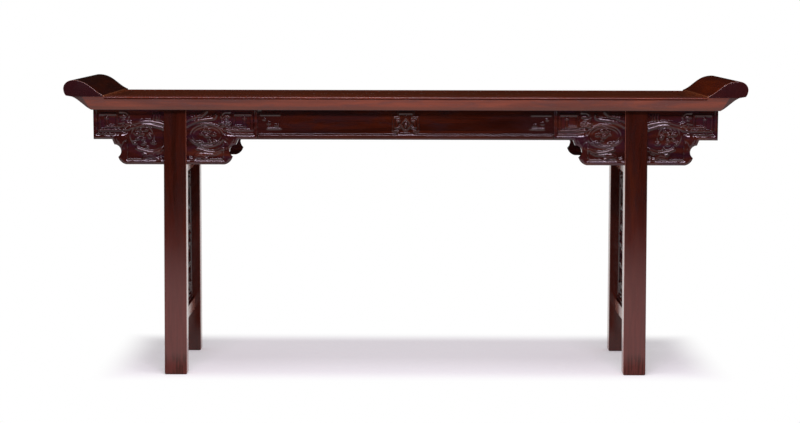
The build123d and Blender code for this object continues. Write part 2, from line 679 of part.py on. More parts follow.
def long_rail():
    """Front rail: moulded between the flanges and plain under them, with coved ends."""
    rail = along_x(long_rail_section(), -FLANGE_TOE_X, FLANGE_TOE_X)
    rail = rail + along_x(plain_rail_section(), -COVE_HEAD_X, -FLANGE_TOE_X)
    rail = rail + along_x(plain_rail_section(), FLANGE_TOE_X, COVE_HEAD_X)
    return rail & along_y(top_silhouette(), -HALF_DEPTH, HALF_DEPTH)


# ---------------------------------------------------------------- assembly
BLANK_FRONT = leg_blank()
BLANK_BACK = mirror(BLANK_FRONT, about=Plane.XZ)

parts = {}

apron = centre_apron()
parts["apron_front"] = apron
parts["apron_back"] = mirror(apron, about=Plane.XZ)

spandrel = spandrel_board(apron)
panel = side_panel()
upper_core = side_stretcher_tenons(UPPER_STRETCHER_BOTTOM)
lower_core = side_stretcher_tenons(LOWER_STRETCHER_BOTTOM)
upper_stretcher = let_in(side_stretcher(UPPER_STRETCHER_BOTTOM) + upper_core, panel)
lower_stretcher = let_in(side_stretcher(LOWER_STRETCHER_BOTTOM) + lower_core, panel)

fork = block(
    LEG_TOP_X - LEG_WIDTH, LEG_TOP_X + LEG_WIDTH,
    APRON_FACE_Y, APRON_BACK_Y, SPANDREL_BOTTOM_Z, TOP_HEIGHT,
)
leg = let_in(BLANK_FRONT, fork, panel, upper_core, lower_core)
for tenon in leg_tenons():
    leg = leg + tenon

for face in ("front", "back"):
    for side in ("left", "right"):
        parts[f"leg_{face}_{side}"] = to_place(leg, face, side)
        parts[f"spandrel_{face}_{side}"] = to_place(spandrel, face, side)

right_flange = flange()
right_end_rail = end_rail(right_flange)
for side in ("left", "right"):
    parts[f"side_stretcher_upper_{side}"] = to_place(upper_stretcher, "front", side)
    parts[f"side_stretcher_lower_{side}"] = to_place(lower_stretcher, "front", side)
    parts[f"side_panel_{side}"] = to_place(panel, "front", side)
    parts[f"apron_end_{side}"] = to_place(end_apron(), "front", side)
    parts[f"flange_{side}"] = to_place(right_flange, "front", side)
    parts[f"top_end_rail_{side}"] = to_place(right_end_rail, "front", side)

battens = []
for index in range(BATTEN_COUNT):
    piece = batten(BATTEN_OUTERMOST_X * (2 * index / (BATTEN_COUNT - 1) - 1))
    battens.append(piece)
    parts[f"top_batten_{index + 1}"] = piece

parts["top_panel_front"] = let_in(panel_board(True), *battens)
parts["top_panel_back"] = let_in(panel_board(False), *battens)

rail = let_in(long_rail(), panel_grooves(), apron, *battens)
for side in ("left", "right"):
    received = (leg, spandrel, end_rail_tenons())
    rail = let_in(rail, *[to_place(piece, "front", side) for piece in received])
parts["top_rail_front"] = rail
parts["top_rail_back"] = mirror(rail, about=Plane.XZ)

for name, piece in parts.items():
    export_step(piece, f"parts/{name}.step")
    print(f"{name}: {piece.volume / 1000:.0f} cm3, {len(piece.solids())} solid")
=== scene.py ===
import math

import bmesh
import bpy
import numpy as np
from mathutils import Matrix, Vector


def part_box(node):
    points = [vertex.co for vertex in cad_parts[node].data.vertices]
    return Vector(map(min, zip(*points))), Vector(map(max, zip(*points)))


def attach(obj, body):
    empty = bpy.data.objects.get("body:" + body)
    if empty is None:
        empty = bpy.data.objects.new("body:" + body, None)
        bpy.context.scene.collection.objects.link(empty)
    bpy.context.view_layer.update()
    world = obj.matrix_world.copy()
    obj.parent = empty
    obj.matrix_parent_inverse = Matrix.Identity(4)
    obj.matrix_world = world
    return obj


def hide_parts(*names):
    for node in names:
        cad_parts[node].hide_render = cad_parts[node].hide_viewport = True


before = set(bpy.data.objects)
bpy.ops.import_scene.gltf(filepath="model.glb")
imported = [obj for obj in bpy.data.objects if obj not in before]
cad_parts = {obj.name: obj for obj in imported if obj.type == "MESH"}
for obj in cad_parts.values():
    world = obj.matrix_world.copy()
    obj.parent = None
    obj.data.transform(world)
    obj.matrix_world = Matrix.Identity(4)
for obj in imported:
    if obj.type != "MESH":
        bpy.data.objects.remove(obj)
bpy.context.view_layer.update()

# Chinese altar table in polished rosewood. Lengths in this script are millimetres unless a
# comment says otherwise; meshes are handed to Blender in metres. "left" is -X, "front" is -Y.
MM = 0.001

# ---------------------------------------------------------------- the frame's own places
def corner(name, high, axis):
    """One coordinate of a CAD node's box, in millimetres; high is 0 for its low side, 1 for its high."""
    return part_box(name)[high]["xyz".index(axis)] / MM


BOARD_FACE_Y = corner("spandrel_front_right", 0, "y")
BOARD_THICKNESS = 20.0
BOARD_TOP_Z = corner("top_rail_front", 0, "z")
RAIL_TOP_Z = corner("top_rail_front", 1, "z")
APRON_BOTTOM_Z = corner("apron_end_right", 0, "z")
SPANDREL_BOTTOM_Z = corner("spandrel_front_right", 0, "z")
SPANDREL_INNER_X = corner("spandrel_front_right", 0, "x")
BOARD_END_X = corner("apron_end_right", 1, "x")

LEG_WIDTH = 68.5
LEG_SPLAY_DEPTHWAYS = 12.5  # each foot stands out by this much across the depth
LEG_HEAD_X = corner("leg_front_right", 0, "x") + LEG_WIDTH / 2
LEG_FOOT_X = corner("leg_front_right", 1, "x") - LEG_WIDTH / 2

# ---------------------------------------------------------------- outline of the spandrel boards
SPANDREL_HALF_WIDTH = 192.5
UPPER_CUSP_IN = 6.5
UPPER_CUSP_DROP = 16.0
LOWER_CUSP_IN = 18.0
LOWER_CUSP_RISE = 23.0
BITE_SAG = 14.5
SPANDREL_CORNER_IN = 42.5
BELLY_BULGE = 5.0

# ---------------------------------------------------------------- carving
RELIEF = 5.0                # from the sunk ground up to the board's own face
EDGE_BORDER = 9.0           # plain border at the ends of the boards
TOP_BORDER = -6.0           # the ground runs up behind the top's underside
LIP = 14.5                  # rounded lip along the lower edges
LIP_SHOULDER = 2.2          # width of the round from the lip down to the ground
PILLOW = 2.3                # how much lower the lip is at its own edges than in its middle
CROWN_RADIUS = 18.0         # the carved bands are gently crowned
BAND_SHOULDER = 1.6
LEAN = 0.20                 # and their faces lean up a little: fall per millimetre of rise
RIBBON_LEAN = 0.26          # ribbons, waves and clouds lean more and are flatter
RIBBON_CROWN = 26.0
KNOB_CROWN = 0.7            # a knob's top falls away by this much to its rim
JOINT_DEPTH = 2.4           # the open groove where two boards meet
JOINT_HALF_WIDTH = 2.6
FIELD_HALF_WIDTH = 148.0    # from the leg's middle line to the field's upright edge
KEY_BAND = 6.6              # width of the square key bands
# spacing of the mesh lines
CARVING_PITCH = 1.25
END_PITCH = 1.5
PANEL_PITCH = 2.0
HIDDEN_PITCH = 6.0          # where a board runs behind a leg
PLAIN_PITCH = 12.0          # on the plain fields


def smooth(t):
    """Ease from 0 to 1."""
    t = np.clip(t, 0.0, 1.0)
    return t * t * (3 - 2 * t)


def spline(points, steps=9):
    """A smooth line through given points."""
    p = np.asarray(points, float)
    p = np.vstack([2 * p[0] - p[1], p, 2 * p[-1] - p[-2]])
    t = np.linspace(0, 1, steps, endpoint=False)[:, None]
    made = []
    for a, b, c, d in zip(p[:-3], p[1:-2], p[2:-1], p[3:]):
        made.append(0.5 * (2 * b + (c - a) * t + (2 * a - 5 * b + 4 * c - d) * t**2
                           + (3 * b - a - 3 * c + d) * t**3))
    return np.vstack(made + [p[-2:-1]])


def beside(line, x, z):
    """Distance of every point (x, z) from a line of straight runs, and its rise above the line."""
    best = np.full(np.shape(x), 1e9)
    rise = np.zeros(np.shape(x))
    line = np.asarray(line, float)
    for a, b in zip(line[:-1], line[1:]):
        way = b - a
        share = ((x - a[0]) * way[0] + (z - a[1]) * way[1]) / max(way @ way, 1e-9)
        share = np.clip(share, 0, 1)
        up = z - a[1] - share * way[1]
        away = np.hypot(x - a[0] - share * way[0], up)
        rise = np.where(away < best, up, rise)
        best = np.minimum(best, away)
    return best, rise


def distance_to(line, x, z):
    """Distance of every point (x, z) from a line of straight runs."""
    return beside(line, x, z)[0]


def bead(line, x, z, half_width, height, lean=LEAN, crown=CROWN_RADIUS):
    """A gently crowned band along a line, with rounded shoulders and a face that may lean up."""
    away, rise = beside(line, x, z)
    top = height - away**2 / (2 * crown) - lean * rise
    edge = np.clip((half_width - away) / BAND_SHOULDER, 0, 1)
    return np.maximum(top, 0) * np.sqrt(1 - (1 - edge)**2)


def ribbon(line, x, z, half_width, height):
    """A flat, leaning band that catches the light along its whole length."""
    return bead(line, x, z, half_width, height, RIBBON_LEAN, RIBBON_CROWN)


def key_band(line, x, z, height):
    """A narrow band along the square lines of a key."""
    return bead(line, x, z, KEY_BAND / 2, height)


def knob(x, z, at, size, height):
    """A low boss that leans up: size is its half length, half width and turn in degrees."""
    turn = math.radians(size[2])
    u = (x - at[0]) * math.cos(turn) + (z - at[1]) * math.sin(turn)
    v = (z - at[1]) * math.cos(turn) - (x - at[0]) * math.sin(turn)
    share = (u / size[0])**2 + (v / size[1])**2
    top = height - KNOB_CROWN * share - RIBBON_LEAN * (z - at[1])
    return np.maximum(top, 0) * np.sqrt(np.clip(1 - share**2, 0, 1))


def ellipse(at, radii, start, end, steps=40):
    """Points of an elliptical arc; angles in degrees, radii may shrink along the way."""
    angle = np.radians(np.linspace(start, end, steps))
    shrink = np.linspace(1, radii[2], steps)
    return np.column_stack([at[0] + radii[0] * shrink * np.cos(angle),
                            at[1] + radii[1] * shrink * np.sin(angle)])


def inside_box(x, z, box):
    """Distance inside a box's edge, negative outside it; box is x0, x1, z0, z1."""
    return np.minimum(np.minimum(x - box[0], box[1] - x), np.minimum(z - box[2], box[3] - z))


def sunk_with_lip(x, z, inset, fields, pillow=PILLOW, shoulder=LIP_SHOULDER):
    """Height of a board whose fields are sunk, with a rounded lip left round them."""
    within = np.max([inside_box(x, z, box) for box in fields], axis=0)
    from_field = np.maximum(-within, 0)
    across = inset / np.maximum(inset + from_field, 1e-6)
    lip = RELIEF - pillow * (2 * across - 1)**2
    fall = np.clip(within / shoulder, 0, 1)
    return np.where(within > 0, (RELIEF - pillow) * np.sqrt(1 - fall**2), lip)


def joint_groove(away):
    """Depth of the small open groove where two boards meet, by distance from the joint."""
    return JOINT_DEPTH * smooth(1 - away / JOINT_HALF_WIDTH)


# ---------------------------------------------------------------- spandrel carving, right-hand side
LEG_SIDE = LEG_HEAD_X + (LEG_FOOT_X - LEG_HEAD_X) * (1 - SPANDREL_BOTTOM_Z / BOARD_TOP_Z)

KEY_END_INSET = 18.0
KEY_LIFT = 29.0
KEY_HEIGHT = 48.0
KEY_LENGTH = 54.0
KEY_STEP = 11.0
KEY_TAIL = 18.0
KEY_RISE = 4.2
KEY_HEART = ((5.0, 5.0, 0), 5.0)    # the boss that a key winds in to: its size and height


def key_run(far, towards):
    """Middle line of a square key: in from its tail, round the outside and in to its heart."""
    low = APRON_BOTTOM_Z + KEY_LIFT
    high = low + KEY_HEIGHT
    near = far - towards * KEY_LENGTH
    heart = far - 2 * towards * KEY_STEP
    return [(near - towards * KEY_TAIL, low), (far, low), (far, high), (near, high),
            (near, low + KEY_STEP), (heart, low + KEY_STEP), (heart, high - KEY_STEP)]


OUTER_KEY = key_run(BOARD_END_X - KEY_END_INSET, 1)
INNER_KEY = key_run(SPANDREL_INNER_X + KEY_END_INSET, -1)

# Places of the carving are (x, level) on the right-hand board, unless a comment says otherwise.
OUTER_RIBBONS = [
    [(856, 766), (849, 772), (829, 776), (812, 780), (793, 782), (775, 781), (752, 777), (732, 771)],
    [(850, 758), (838, 764), (821, 768), (805, 772), (790, 773), (775, 771), (752, 765), (732, 758)],
]
INNER_RIBBONS = [
    [(581, 801), (585, 793), (600, 790), (620, 787), (640, 782), (658, 775), (671, 767)],
    [(610, 812), (621, 803), (638, 798), (656, 791), (671, 783)],
]
RIBBON_SIZE = (5.0, 4.0)    # half width and height
# (distance from the waves' own middle, level)
WAVE_MIDDLES = (806.0, 622.0)
WAVE_SIZES = [(4.6, 4.2), (3.6, 3.7)]
WAVES = [
    [(-64, 700), (-50, 694), (-34, 689), (-16, 690), (0, 694), (14, 699)],
    [(-54, 689), (-38, 682), (-20, 681), (-4, 684)],
]
# From here to CUSP_KNOBS, places are (distance out from the leg's middle line, level), on both
# sides of the leg.
CLOUD_SIZE = (5.2, 4.4)
LOW_CLOUDS = [
    [(88, 679), (76, 683), (62, 677)],
    [(96, 669), (84, 673), (68, 674), (52, 666), (44, 669)],
]
STROKE_SIZE = (3.2, 4.0)
STROKES = [[(out, 804), (out + 2, 788)] for out in (48, 56, 65)]
CUSP_SCROLLS = [
    # line, half width, height, lean
    ([(166, 810), (150, 808), (142, 799), (147, 789), (158, 788)], 3.2, 3.0, 0.0),
    ([(168, 776), (157, 779), (143, 787)], 3.0, 2.8, 0.0),
    ([(137, 766), (147, 768), (160, 769), (168, 766)], 2.8, 3.4, LEAN),
]
CUSP_GROOVES = [
    [(150, 750), (164, 752), (176, 746), (182, 733), (178, 718)],
    [(150, 722), (157, 716), (160, 706), (157, 694)],
]
GROOVE_DEPTH = 1.6
GROOVE_HALF_WIDTH = 2.0
# Knobs are: middle, (half length, half width, turn in degrees), height.
CUSP_KNOBS = [
    ((158, 798), (10, 6, 0), 5.0),
    ((144, 777), (11, 6, -15), 5.0),
    ((157, 757), (9, 5, 0), 4.6),
    ((163, 736), (11, 13, 20), 5.0),
]
OUTER_KNOBS = [
    ((821, 744), (7.5, 6.0, 20), 5.0),
    ((805, 743), (7.5, 5.0, -35), 5.0),
    ((819, 730), (6.5, 5.5, 0), 4.6),
    ((828, 716), (7.0, 5.0, 30), 4.6),
    ((781, 736), (5.0, 7.5, 10), 4.4),
    ((793, 756), (6.5, 4.5, -25), 4.4),
    ((802, 727), (6.0, 5.0, 0), 4.0),
    ((801, 713), (7.5, 4.0, -10), 4.2),
    ((771, 717), (8.5, 5.5, 15), 5.0),
    ((790, 702), (5.0, 4.0, 0), 4.0),
    ((786, 742), (4.0, 4.0, 0), 3.8),
    ((811, 756), (5.0, 4.0, 20), 4.0),
]
INNER_KNOBS = [
    ((608, 739), (10.0, 6.0, 25), 5.0),
    ((616, 755), (6.0, 4.5, -20), 4.4),
    ((624, 746), (5.0, 5.5, 0), 4.2),
    ((587, 742), (7.5, 4.5, 10), 4.8),
    ((600, 727), (5.5, 4.5, -30), 4.4),
    ((586, 719), (6.5, 5.5, 0), 5.0),
    ((573, 717), (6.0, 4.5, 30), 4.4),
    ((596, 716), (5.0, 4.0, 0), 4.0),
    ((630, 717), (12.0, 4.5, 8), 4.8),
    ((600, 754), (6.0, 4.0, 15), 4.0),
]
# Roundels are: middle, half width and half height, spans of the two rings in degrees, knobs, height.
ROUNDELS = [
    ((805, 740), (35, 34), ((-40, 215), (15, 130)), OUTER_KNOBS, 3.4),
    ((608, 740), (52, 34), ((0, 360), (0, 360)), INNER_KNOBS, 3.6),
]
OUTER_RING = (3.2, 0.58, 0.05)  # half width, share of the roundel's height, lean
INNER_RING = (2.2, 0.28, 0.0)
RING_STEP = (9.0, 8.5)      # from the outer ring in to the inner one, sideways and up
TOOLING = 0.16              # the ground is tooled, not dead flat
CURL_WINDING = 400          # degrees that a curl of cloud winds in by
CURL_SHRINK = 0.35          # what is left of its radius there
CURL_BAND = 0.32            # half width of its bead, and size of its knob, as shares of its radius
CURL_HEART = 0.36
CURL_HEIGHT = 4.4


def beside_leg(points, sign):
    """Places from their distances out from the leg's middle line; sign is 1 on its outer side."""
    return [(LEG_SIDE + sign * out, level) for out, level in points]


def cloud_curl(x, z, at, radius, turn):
    """A small curl of cloud: a hooked bead that winds in to a knob."""
    line = ellipse(at, (radius, radius, CURL_SHRINK), turn, turn - CURL_WINDING)
    curl = bead(line, x, z, radius * CURL_BAND, CURL_HEIGHT)
    heart = radius * CURL_HEART
    return np.maximum(curl, knob(x, z, at, (heart, heart, 0), CURL_HEIGHT))


def cusp_scrolls(x, z, sign):
    """Scrolls beside the key, over the cusps of one half of a spandrel board."""
    made = []
    for place, (length, width, turn), height in CUSP_KNOBS:
        at = beside_leg([place], sign)[0]
        made.append(knob(x, z, at, (length, width, sign * turn), height))
    for line, half_width, height, lean in CUSP_SCROLLS:
        made.append(bead(spline(beside_leg(line, sign)), x, z, half_width, height, lean))
    return np.max(made, axis=0)


def cusp_grooves(x, z, sign):
    """Lines cut into the raised part over the cusps."""
    away = [distance_to(spline(beside_leg(line, sign)), x, z) for line in CUSP_GROOVES]
    return GROOVE_DEPTH * smooth(1 - np.min(away, axis=0) / GROOVE_HALF_WIDTH)


def roundel(x, z, at, radii, spans, knobs, height):
    """A ring with a second, thinner ring in it and a cluster of knobs; spans are in degrees."""
    outer = ellipse(at, (*radii, 1.0), *spans[0], 72)
    inner = ellipse(at, (radii[0] - RING_STEP[0], radii[1] - RING_STEP[1], 1.0), *spans[1], 60)
    made = [knob(x, z, *one) for one in knobs]
    for line, (half_width, share, lean) in ((outer, OUTER_RING), (inner, INNER_RING)):
        made.append(bead(line, x, z, half_width, share * height, lean))
    return np.max(made, axis=0)


def spandrel_height(x, z, inset):
    """Carved face of a right-hand spandrel board."""
    low = APRON_BOTTOM_Z + LIP
    top = BOARD_TOP_Z - TOP_BORDER
    deep = SPANDREL_BOTTOM_Z + LIP
    left = LEG_SIDE - FIELD_HALF_WIDTH
    right = LEG_SIDE + FIELD_HALF_WIDTH
    fields = [
        (SPANDREL_INNER_X + EDGE_BORDER, BOARD_END_X - EDGE_BORDER, low, top),
        (left, right, deep, top),
    ]
    ground = sunk_with_lip(x, z, inset, fields)
    ground = ground - cusp_grooves(x, z, 1) - cusp_grooves(x, z, -1)
    ground = ground - joint_groove(x - SPANDREL_INNER_X)
    # shallow gouge marks that run into each other
    ground = ground + TOOLING * np.sin(x / 6.1 + 1.7 * np.sin(z / 9.3)) * np.sin(z / 5.3 + x / 17.0)
    made = [ground]
    for key in (OUTER_KEY, INNER_KEY):
        made += [key_band(key, x, z, KEY_RISE), knob(x, z, key[-1], *KEY_HEART)]
    made += [roundel(x, z, *one) for one in ROUNDELS]
    made += [ribbon(spline(line), x, z, *RIBBON_SIZE) for line in OUTER_RIBBONS + INNER_RIBBONS]
    for middle in WAVE_MIDDLES:
        for wave, size in zip(WAVES, WAVE_SIZES):
            line = [(middle + out, level) for out, level in wave]
            made.append(ribbon(spline(line), x, z, *size))
    for sign in (1, -1):
        made.append(cusp_scrolls(x, z, sign))
        made += [ribbon(spline(beside_leg(line, sign)), x, z, *CLOUD_SIZE) for line in LOW_CLOUDS]
        made += [bead(beside_leg(line, sign), x, z, *STROKE_SIZE) for line in STROKES]
    return np.max(made, axis=0)


# ---------------------------------------------------------------- apron carving
# Places on the aprons are (distance from the middle, level), the same on both sides.
APRON_PILLOW = 0.5          # the straight aprons' lip is flatter, and falls more sharply
APRON_LIP_SHOULDER = 1.6
APRON_ARRIS = 4.0           # the round at the foot of the lip, and how far it falls away
APRON_ARRIS_FALL = 1.4
APRON_KEY_SIZE = (2.6, 1.8)
APRON_KEY = [(442, 802), (381, 802), (381, 760), (422, 760)]
APRON_KNOBS = [
    ((418, 776), (5.0, 4.5, 0), 4.0),
    ((395, 770), (6.0, 4.0, 0), 4.0),
    ((432, 788), (4.5, 3.0, 0), 2.6),
]
BRUISE_PLACE = (-446, 812)  # a bruised corner at the left end, under the top
BRUISE_RADIUS = 8.0
BRUISE_DEPTH = 3.2
MEDALLION_LEVEL = 775.0
MEDALLION_HEART = ((0, MEDALLION_LEVEL), (6, 8, 0), 4.4)
MEDALLION_BANDS = [
    # line, height
    ([(0, 808), (22, 808), (22, 797), (37, 797), (37, MEDALLION_LEVEL)], 3.6),
    ([(0, 743), (22, 743), (22, 754), (37, 754), (37, MEDALLION_LEVEL)], 3.6),
    ([(28, 786), (28, 764), (20, 764)], 3.2),
    ([(28, 786), (20, 786)], 3.2),
    ([(0, 796), (15, MEDALLION_LEVEL), (0, 754)], 3.6),
]
END_HOOK = [(183, 758), (183, 802), (132, 802), (132, 760), (160, 760), (160, 781)]
END_BANDS = [
    # line, half width, height
    ([(120, 770), (95, 783), (62, 785), (34, 775), (0, 768)], 4.6, 4.0),
    ([(120, 758), (95, 771), (62, 773), (34, 763), (0, 756)], 4.2, 4.0),
]
END_KNOBS = [
    (END_HOOK[-1], (4.8, 4.8, 0), 4.8),
    ((0, 790), (13, 9, 0), 4.8),
]
END_CURLS = [
    # middle, radius, turn in degrees
    ((84, 799), 8.0, 200),
    ((58, 800), 7.0, 20),
]


def medallion(x, z):
    """A symmetrical fret medallion: a quatrefoil frame, a lozenge and facing hooks."""
    made = [key_band(line, np.abs(x), z, height) for line, height in MEDALLION_BANDS]
    made.append(knob(x, z, *MEDALLION_HEART))
    return np.max(made, axis=0)


def centre_apron_height(x, z, inset):
    """Face of the straight apron: plain field, rounded lip, key hooks and the medallion."""
    side = np.abs(x)
    lift = z - APRON_BOTTOM_Z
    top = BOARD_TOP_Z - TOP_BORDER
    reach = SPANDREL_INNER_X
    field = (-reach, reach, APRON_BOTTOM_Z + LIP, 2 * top)
    ground = sunk_with_lip(side, z, np.minimum(inset, lift), [field], APRON_PILLOW, APRON_LIP_SHOULDER)
    ground = ground - APRON_ARRIS_FALL * (1 - np.clip(lift / APRON_ARRIS, 0, 1))**2
    made = [ground, bead(APRON_KEY, side, z, *APRON_KEY_SIZE), medallion(x, z)]
    made += [knob(side, z, *one) for one in APRON_KNOBS]
    from_bruise = np.hypot(x - BRUISE_PLACE[0], z - BRUISE_PLACE[1]) / BRUISE_RADIUS
    return np.max(made, axis=0) - joint_groove(reach - side) - BRUISE_DEPTH * smooth(1 - from_bruise)


def end_apron_height(y, z, inset):
    """Face of the short apron: the same lip, key hooks, and cloud bands between them."""
    side = np.abs(y)
    reach = -BOARD_FACE_Y - EDGE_BORDER
    field = (-reach, reach, APRON_BOTTOM_Z + LIP, BOARD_TOP_Z - TOP_BORDER)
    made = [sunk_with_lip(side, z, inset, [field]), key_band(END_HOOK, side, z, KEY_RISE)]
    made += [bead(spline(line), side, z, *size) for line, *size in END_BANDS]
    made += [cloud_curl(side, z, *one) for one in END_CURLS]
    made += [knob(side, z, *one) for one in END_KNOBS]
    return np.max(made, axis=0)


# ---------------------------------------------------------------- side panel carving
# Places on the panels are (distance from the middle line, distance from the middle level).
PANEL_BORDER = 11.0
PANEL_KEY = [(101.6, 197.8), (143.6, 197.8), (143.6, 155.8), (112.6, 155.8), (112.6, 186.8),
             (132.6, 186.8)]
PANEL_RINGS = [
    # radius, points round it, half width, height
    (58, 72, 4.5, 4.2),
    (47, 60, 2.4, 3.0),
]
PANEL_HEART = ((20, 20, 0), 4.8)    # the boss in the middle of the rings
PANEL_KNOBS = [
    ((130, 170), (5, 5, 0), 4.4),
    ((0, 33), (7, 9, 0), 4.4),
    ((33, 0), (9, 7, 0), 4.4),
    ((0, 158), (9, 14, 0), 4.4),
]
PANEL_CURLS = [
    # middle, radius, turn in degrees
    ((25, 25), 10.0, 225),
    ((118, 92), 12.0, 200),
    ((86, 96), 11.0, 20),
    ((40, 108), 10.0, 160),
    ((34, 160), 13.0, 160),
    ((70, 158), 12.0, 20),
    ((88, 30), 14.0, 160),
    ((124, 30), 12.0, -20),
]
PANEL_BAND_SIZE = (4.0, 4.0)    # half width and height
PANEL_BANDS = [
    [(66, 0), (148, 0)],
    spline([(0, 184), (22, 180), (52, 182), (90, 178)]),
]
PANEL_CRESTS = (84, 134)    # levels of the cloud bands that fall away to the sides
CREST_SIZE = (4.5, 4.2)
CREST_REACH = 128
CREST_FALL = 18


def panel_height(y, z, inset):
    """Face of a side panel: a raised border, corner keys, cloud bands and a ruyi roundel."""
    side = np.abs(y)
    low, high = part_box("side_panel_right")
    middle = (low.z + high.z) / 2 / MM
    level = np.abs(z - middle)
    fall = np.clip((inset - PANEL_BORDER) / LIP_SHOULDER, 0, 1)
    across = np.clip(inset / PANEL_BORDER, 0, 1)
    border = (RELIEF - PILLOW * (2 * across - 1)**2) * np.sqrt(1 - fall**2)
    made = [border, key_band(PANEL_KEY, side, level, KEY_RISE), knob(y, z, (0, middle), *PANEL_HEART)]
    made += [knob(side, level, *one) for one in PANEL_KNOBS]
    made += [bead(line, side, level, *PANEL_BAND_SIZE) for line in PANEL_BANDS]
    made += [cloud_curl(side, level, *one) for one in PANEL_CURLS]
    for radius, steps, half_width, height in PANEL_RINGS:
        ring = ellipse((0, middle), (radius, radius, 1.0), 0, 360, steps)
        made.append(bead(ring, y, z, half_width, height))
    out = np.linspace(0, CREST_REACH, 20)
    for crest_level in PANEL_CRESTS:
        band = np.column_stack([out, crest_level - CREST_FALL * (out / CREST_REACH)**2])
        made.append(bead(band, side, level, *CREST_SIZE))
    return np.max(made, axis=0)


# ---------------------------------------------------------------- meshes of carved boards
SHARP_ANGLE = 62.0          # degrees; faces that meet at more than this keep a sharp edge
GRIME_AND_SHADE_REACH = 3              # how many mesh lines off a crest is measured against
BEFORE_LEG = 2.0            # the fine mesh stops this far before a leg's edge
BEHIND_LEG = 1.0            # and starts this far behind it


def run(*stretches):
    """Grid lines along one direction: stretches are (start, end, spacing)."""
    made = [np.array([stretches[0][0]], float)]
    for start, end, spacing in stretches:
        count = max(1, round(abs(end - start) / spacing))
        made.append(np.linspace(start, end, count + 1)[1:])
    return np.concatenate(made)


def arc_through(start, end, sag, steps=24):
    """Points of an arc that bows out to the left of its way by sag, without its first point."""
    a = np.array(start, float)
    b = np.array(end, float)
    chord = np.linalg.norm(b - a)
    way = (b - a) / chord
    left = np.array([-way[1], way[0]])
    radius = (chord**2 / 4 + sag**2) / (2 * abs(sag))
    centre = (a + b) / 2 + left * (sag - math.copysign(radius, sag))
    first = math.atan2(*(a - centre)[::-1])
    last = math.atan2(*(b - centre)[::-1])
    if sag > 0 and last > first:
        last -= 2 * math.pi
    if sag < 0 and last < first:
        last += 2 * math.pi
    angle = np.linspace(first, last, steps)[1:]
    return [(centre[0] + radius * math.cos(t), centre[1] + radius * math.sin(t)) for t in angle]


def spandrel_outline():
    """Outline of a right-hand spandrel board, and its sharp corners."""
    cusp_z = SPANDREL_BOTTOM_Z + LOWER_CUSP_RISE
    halves = []
    for sign in (1, -1):
        def at(inset, z, sign=sign):
            return (LEG_SIDE + sign * (SPANDREL_HALF_WIDTH - inset), z)

        upper = at(UPPER_CUSP_IN, APRON_BOTTOM_Z - UPPER_CUSP_DROP)
        lower = at(LOWER_CUSP_IN, cusp_z)
        foot = at(SPANDREL_CORNER_IN, SPANDREL_BOTTOM_Z)
        line = [at(0, APRON_BOTTOM_Z), upper]
        line += arc_through(upper, lower, -sign * BITE_SAG)
        line += arc_through(lower, foot, sign * BELLY_BULGE)
        halves.append(line)
    sharp = [(SPANDREL_INNER_X, APRON_BOTTOM_Z), (SPANDREL_INNER_X, BOARD_TOP_Z),
             (BOARD_END_X, BOARD_TOP_Z), (BOARD_END_X, APRON_BOTTOM_Z)]
    sharp += [halves[0][0], halves[0][1], halves[1][0], halves[1][1]]
    for line in halves:
        sharp.append(min(line[2:], key=lambda point: abs(point[1] - cusp_z)))
    outline = sharp[:4] + halves[0] + halves[1][::-1]
    return np.array(outline), np.array(sharp)


def inside(points, outline):
    """Which points lie inside a closed outline."""
    x, z = points
    odd = np.zeros(x.shape, bool)
    for (x0, z0), (x1, z1) in zip(outline, np.roll(outline, -1, axis=0)):
        if z0 == z1:
            continue
        crosses = ((z0 > z) != (z1 > z)) & (x < (x1 - x0) * (z - z0) / (z1 - z0) + x0)
        odd ^= crosses
    return odd


def nearest_on(outline, x, z):
    """The nearest points of a closed outline to the points (x, z)."""
    best = np.full(x.shape, 1e9)
    near = np.column_stack([x, z])
    for a, b in zip(outline, np.roll(outline, -1, axis=0)):
        way = b - a
        share = np.clip(((x - a[0]) * way[0] + (z - a[1]) * way[1]) / max(way @ way, 1e-9), 0, 1)
        px, pz = a[0] + share * way[0], a[1] + share * way[1]
        gap = np.hypot(x - px, z - pz)
        closer = gap < best
        best[closer] = gap[closer]
        near[closer] = np.column_stack([px, pz])[closer]
    return near


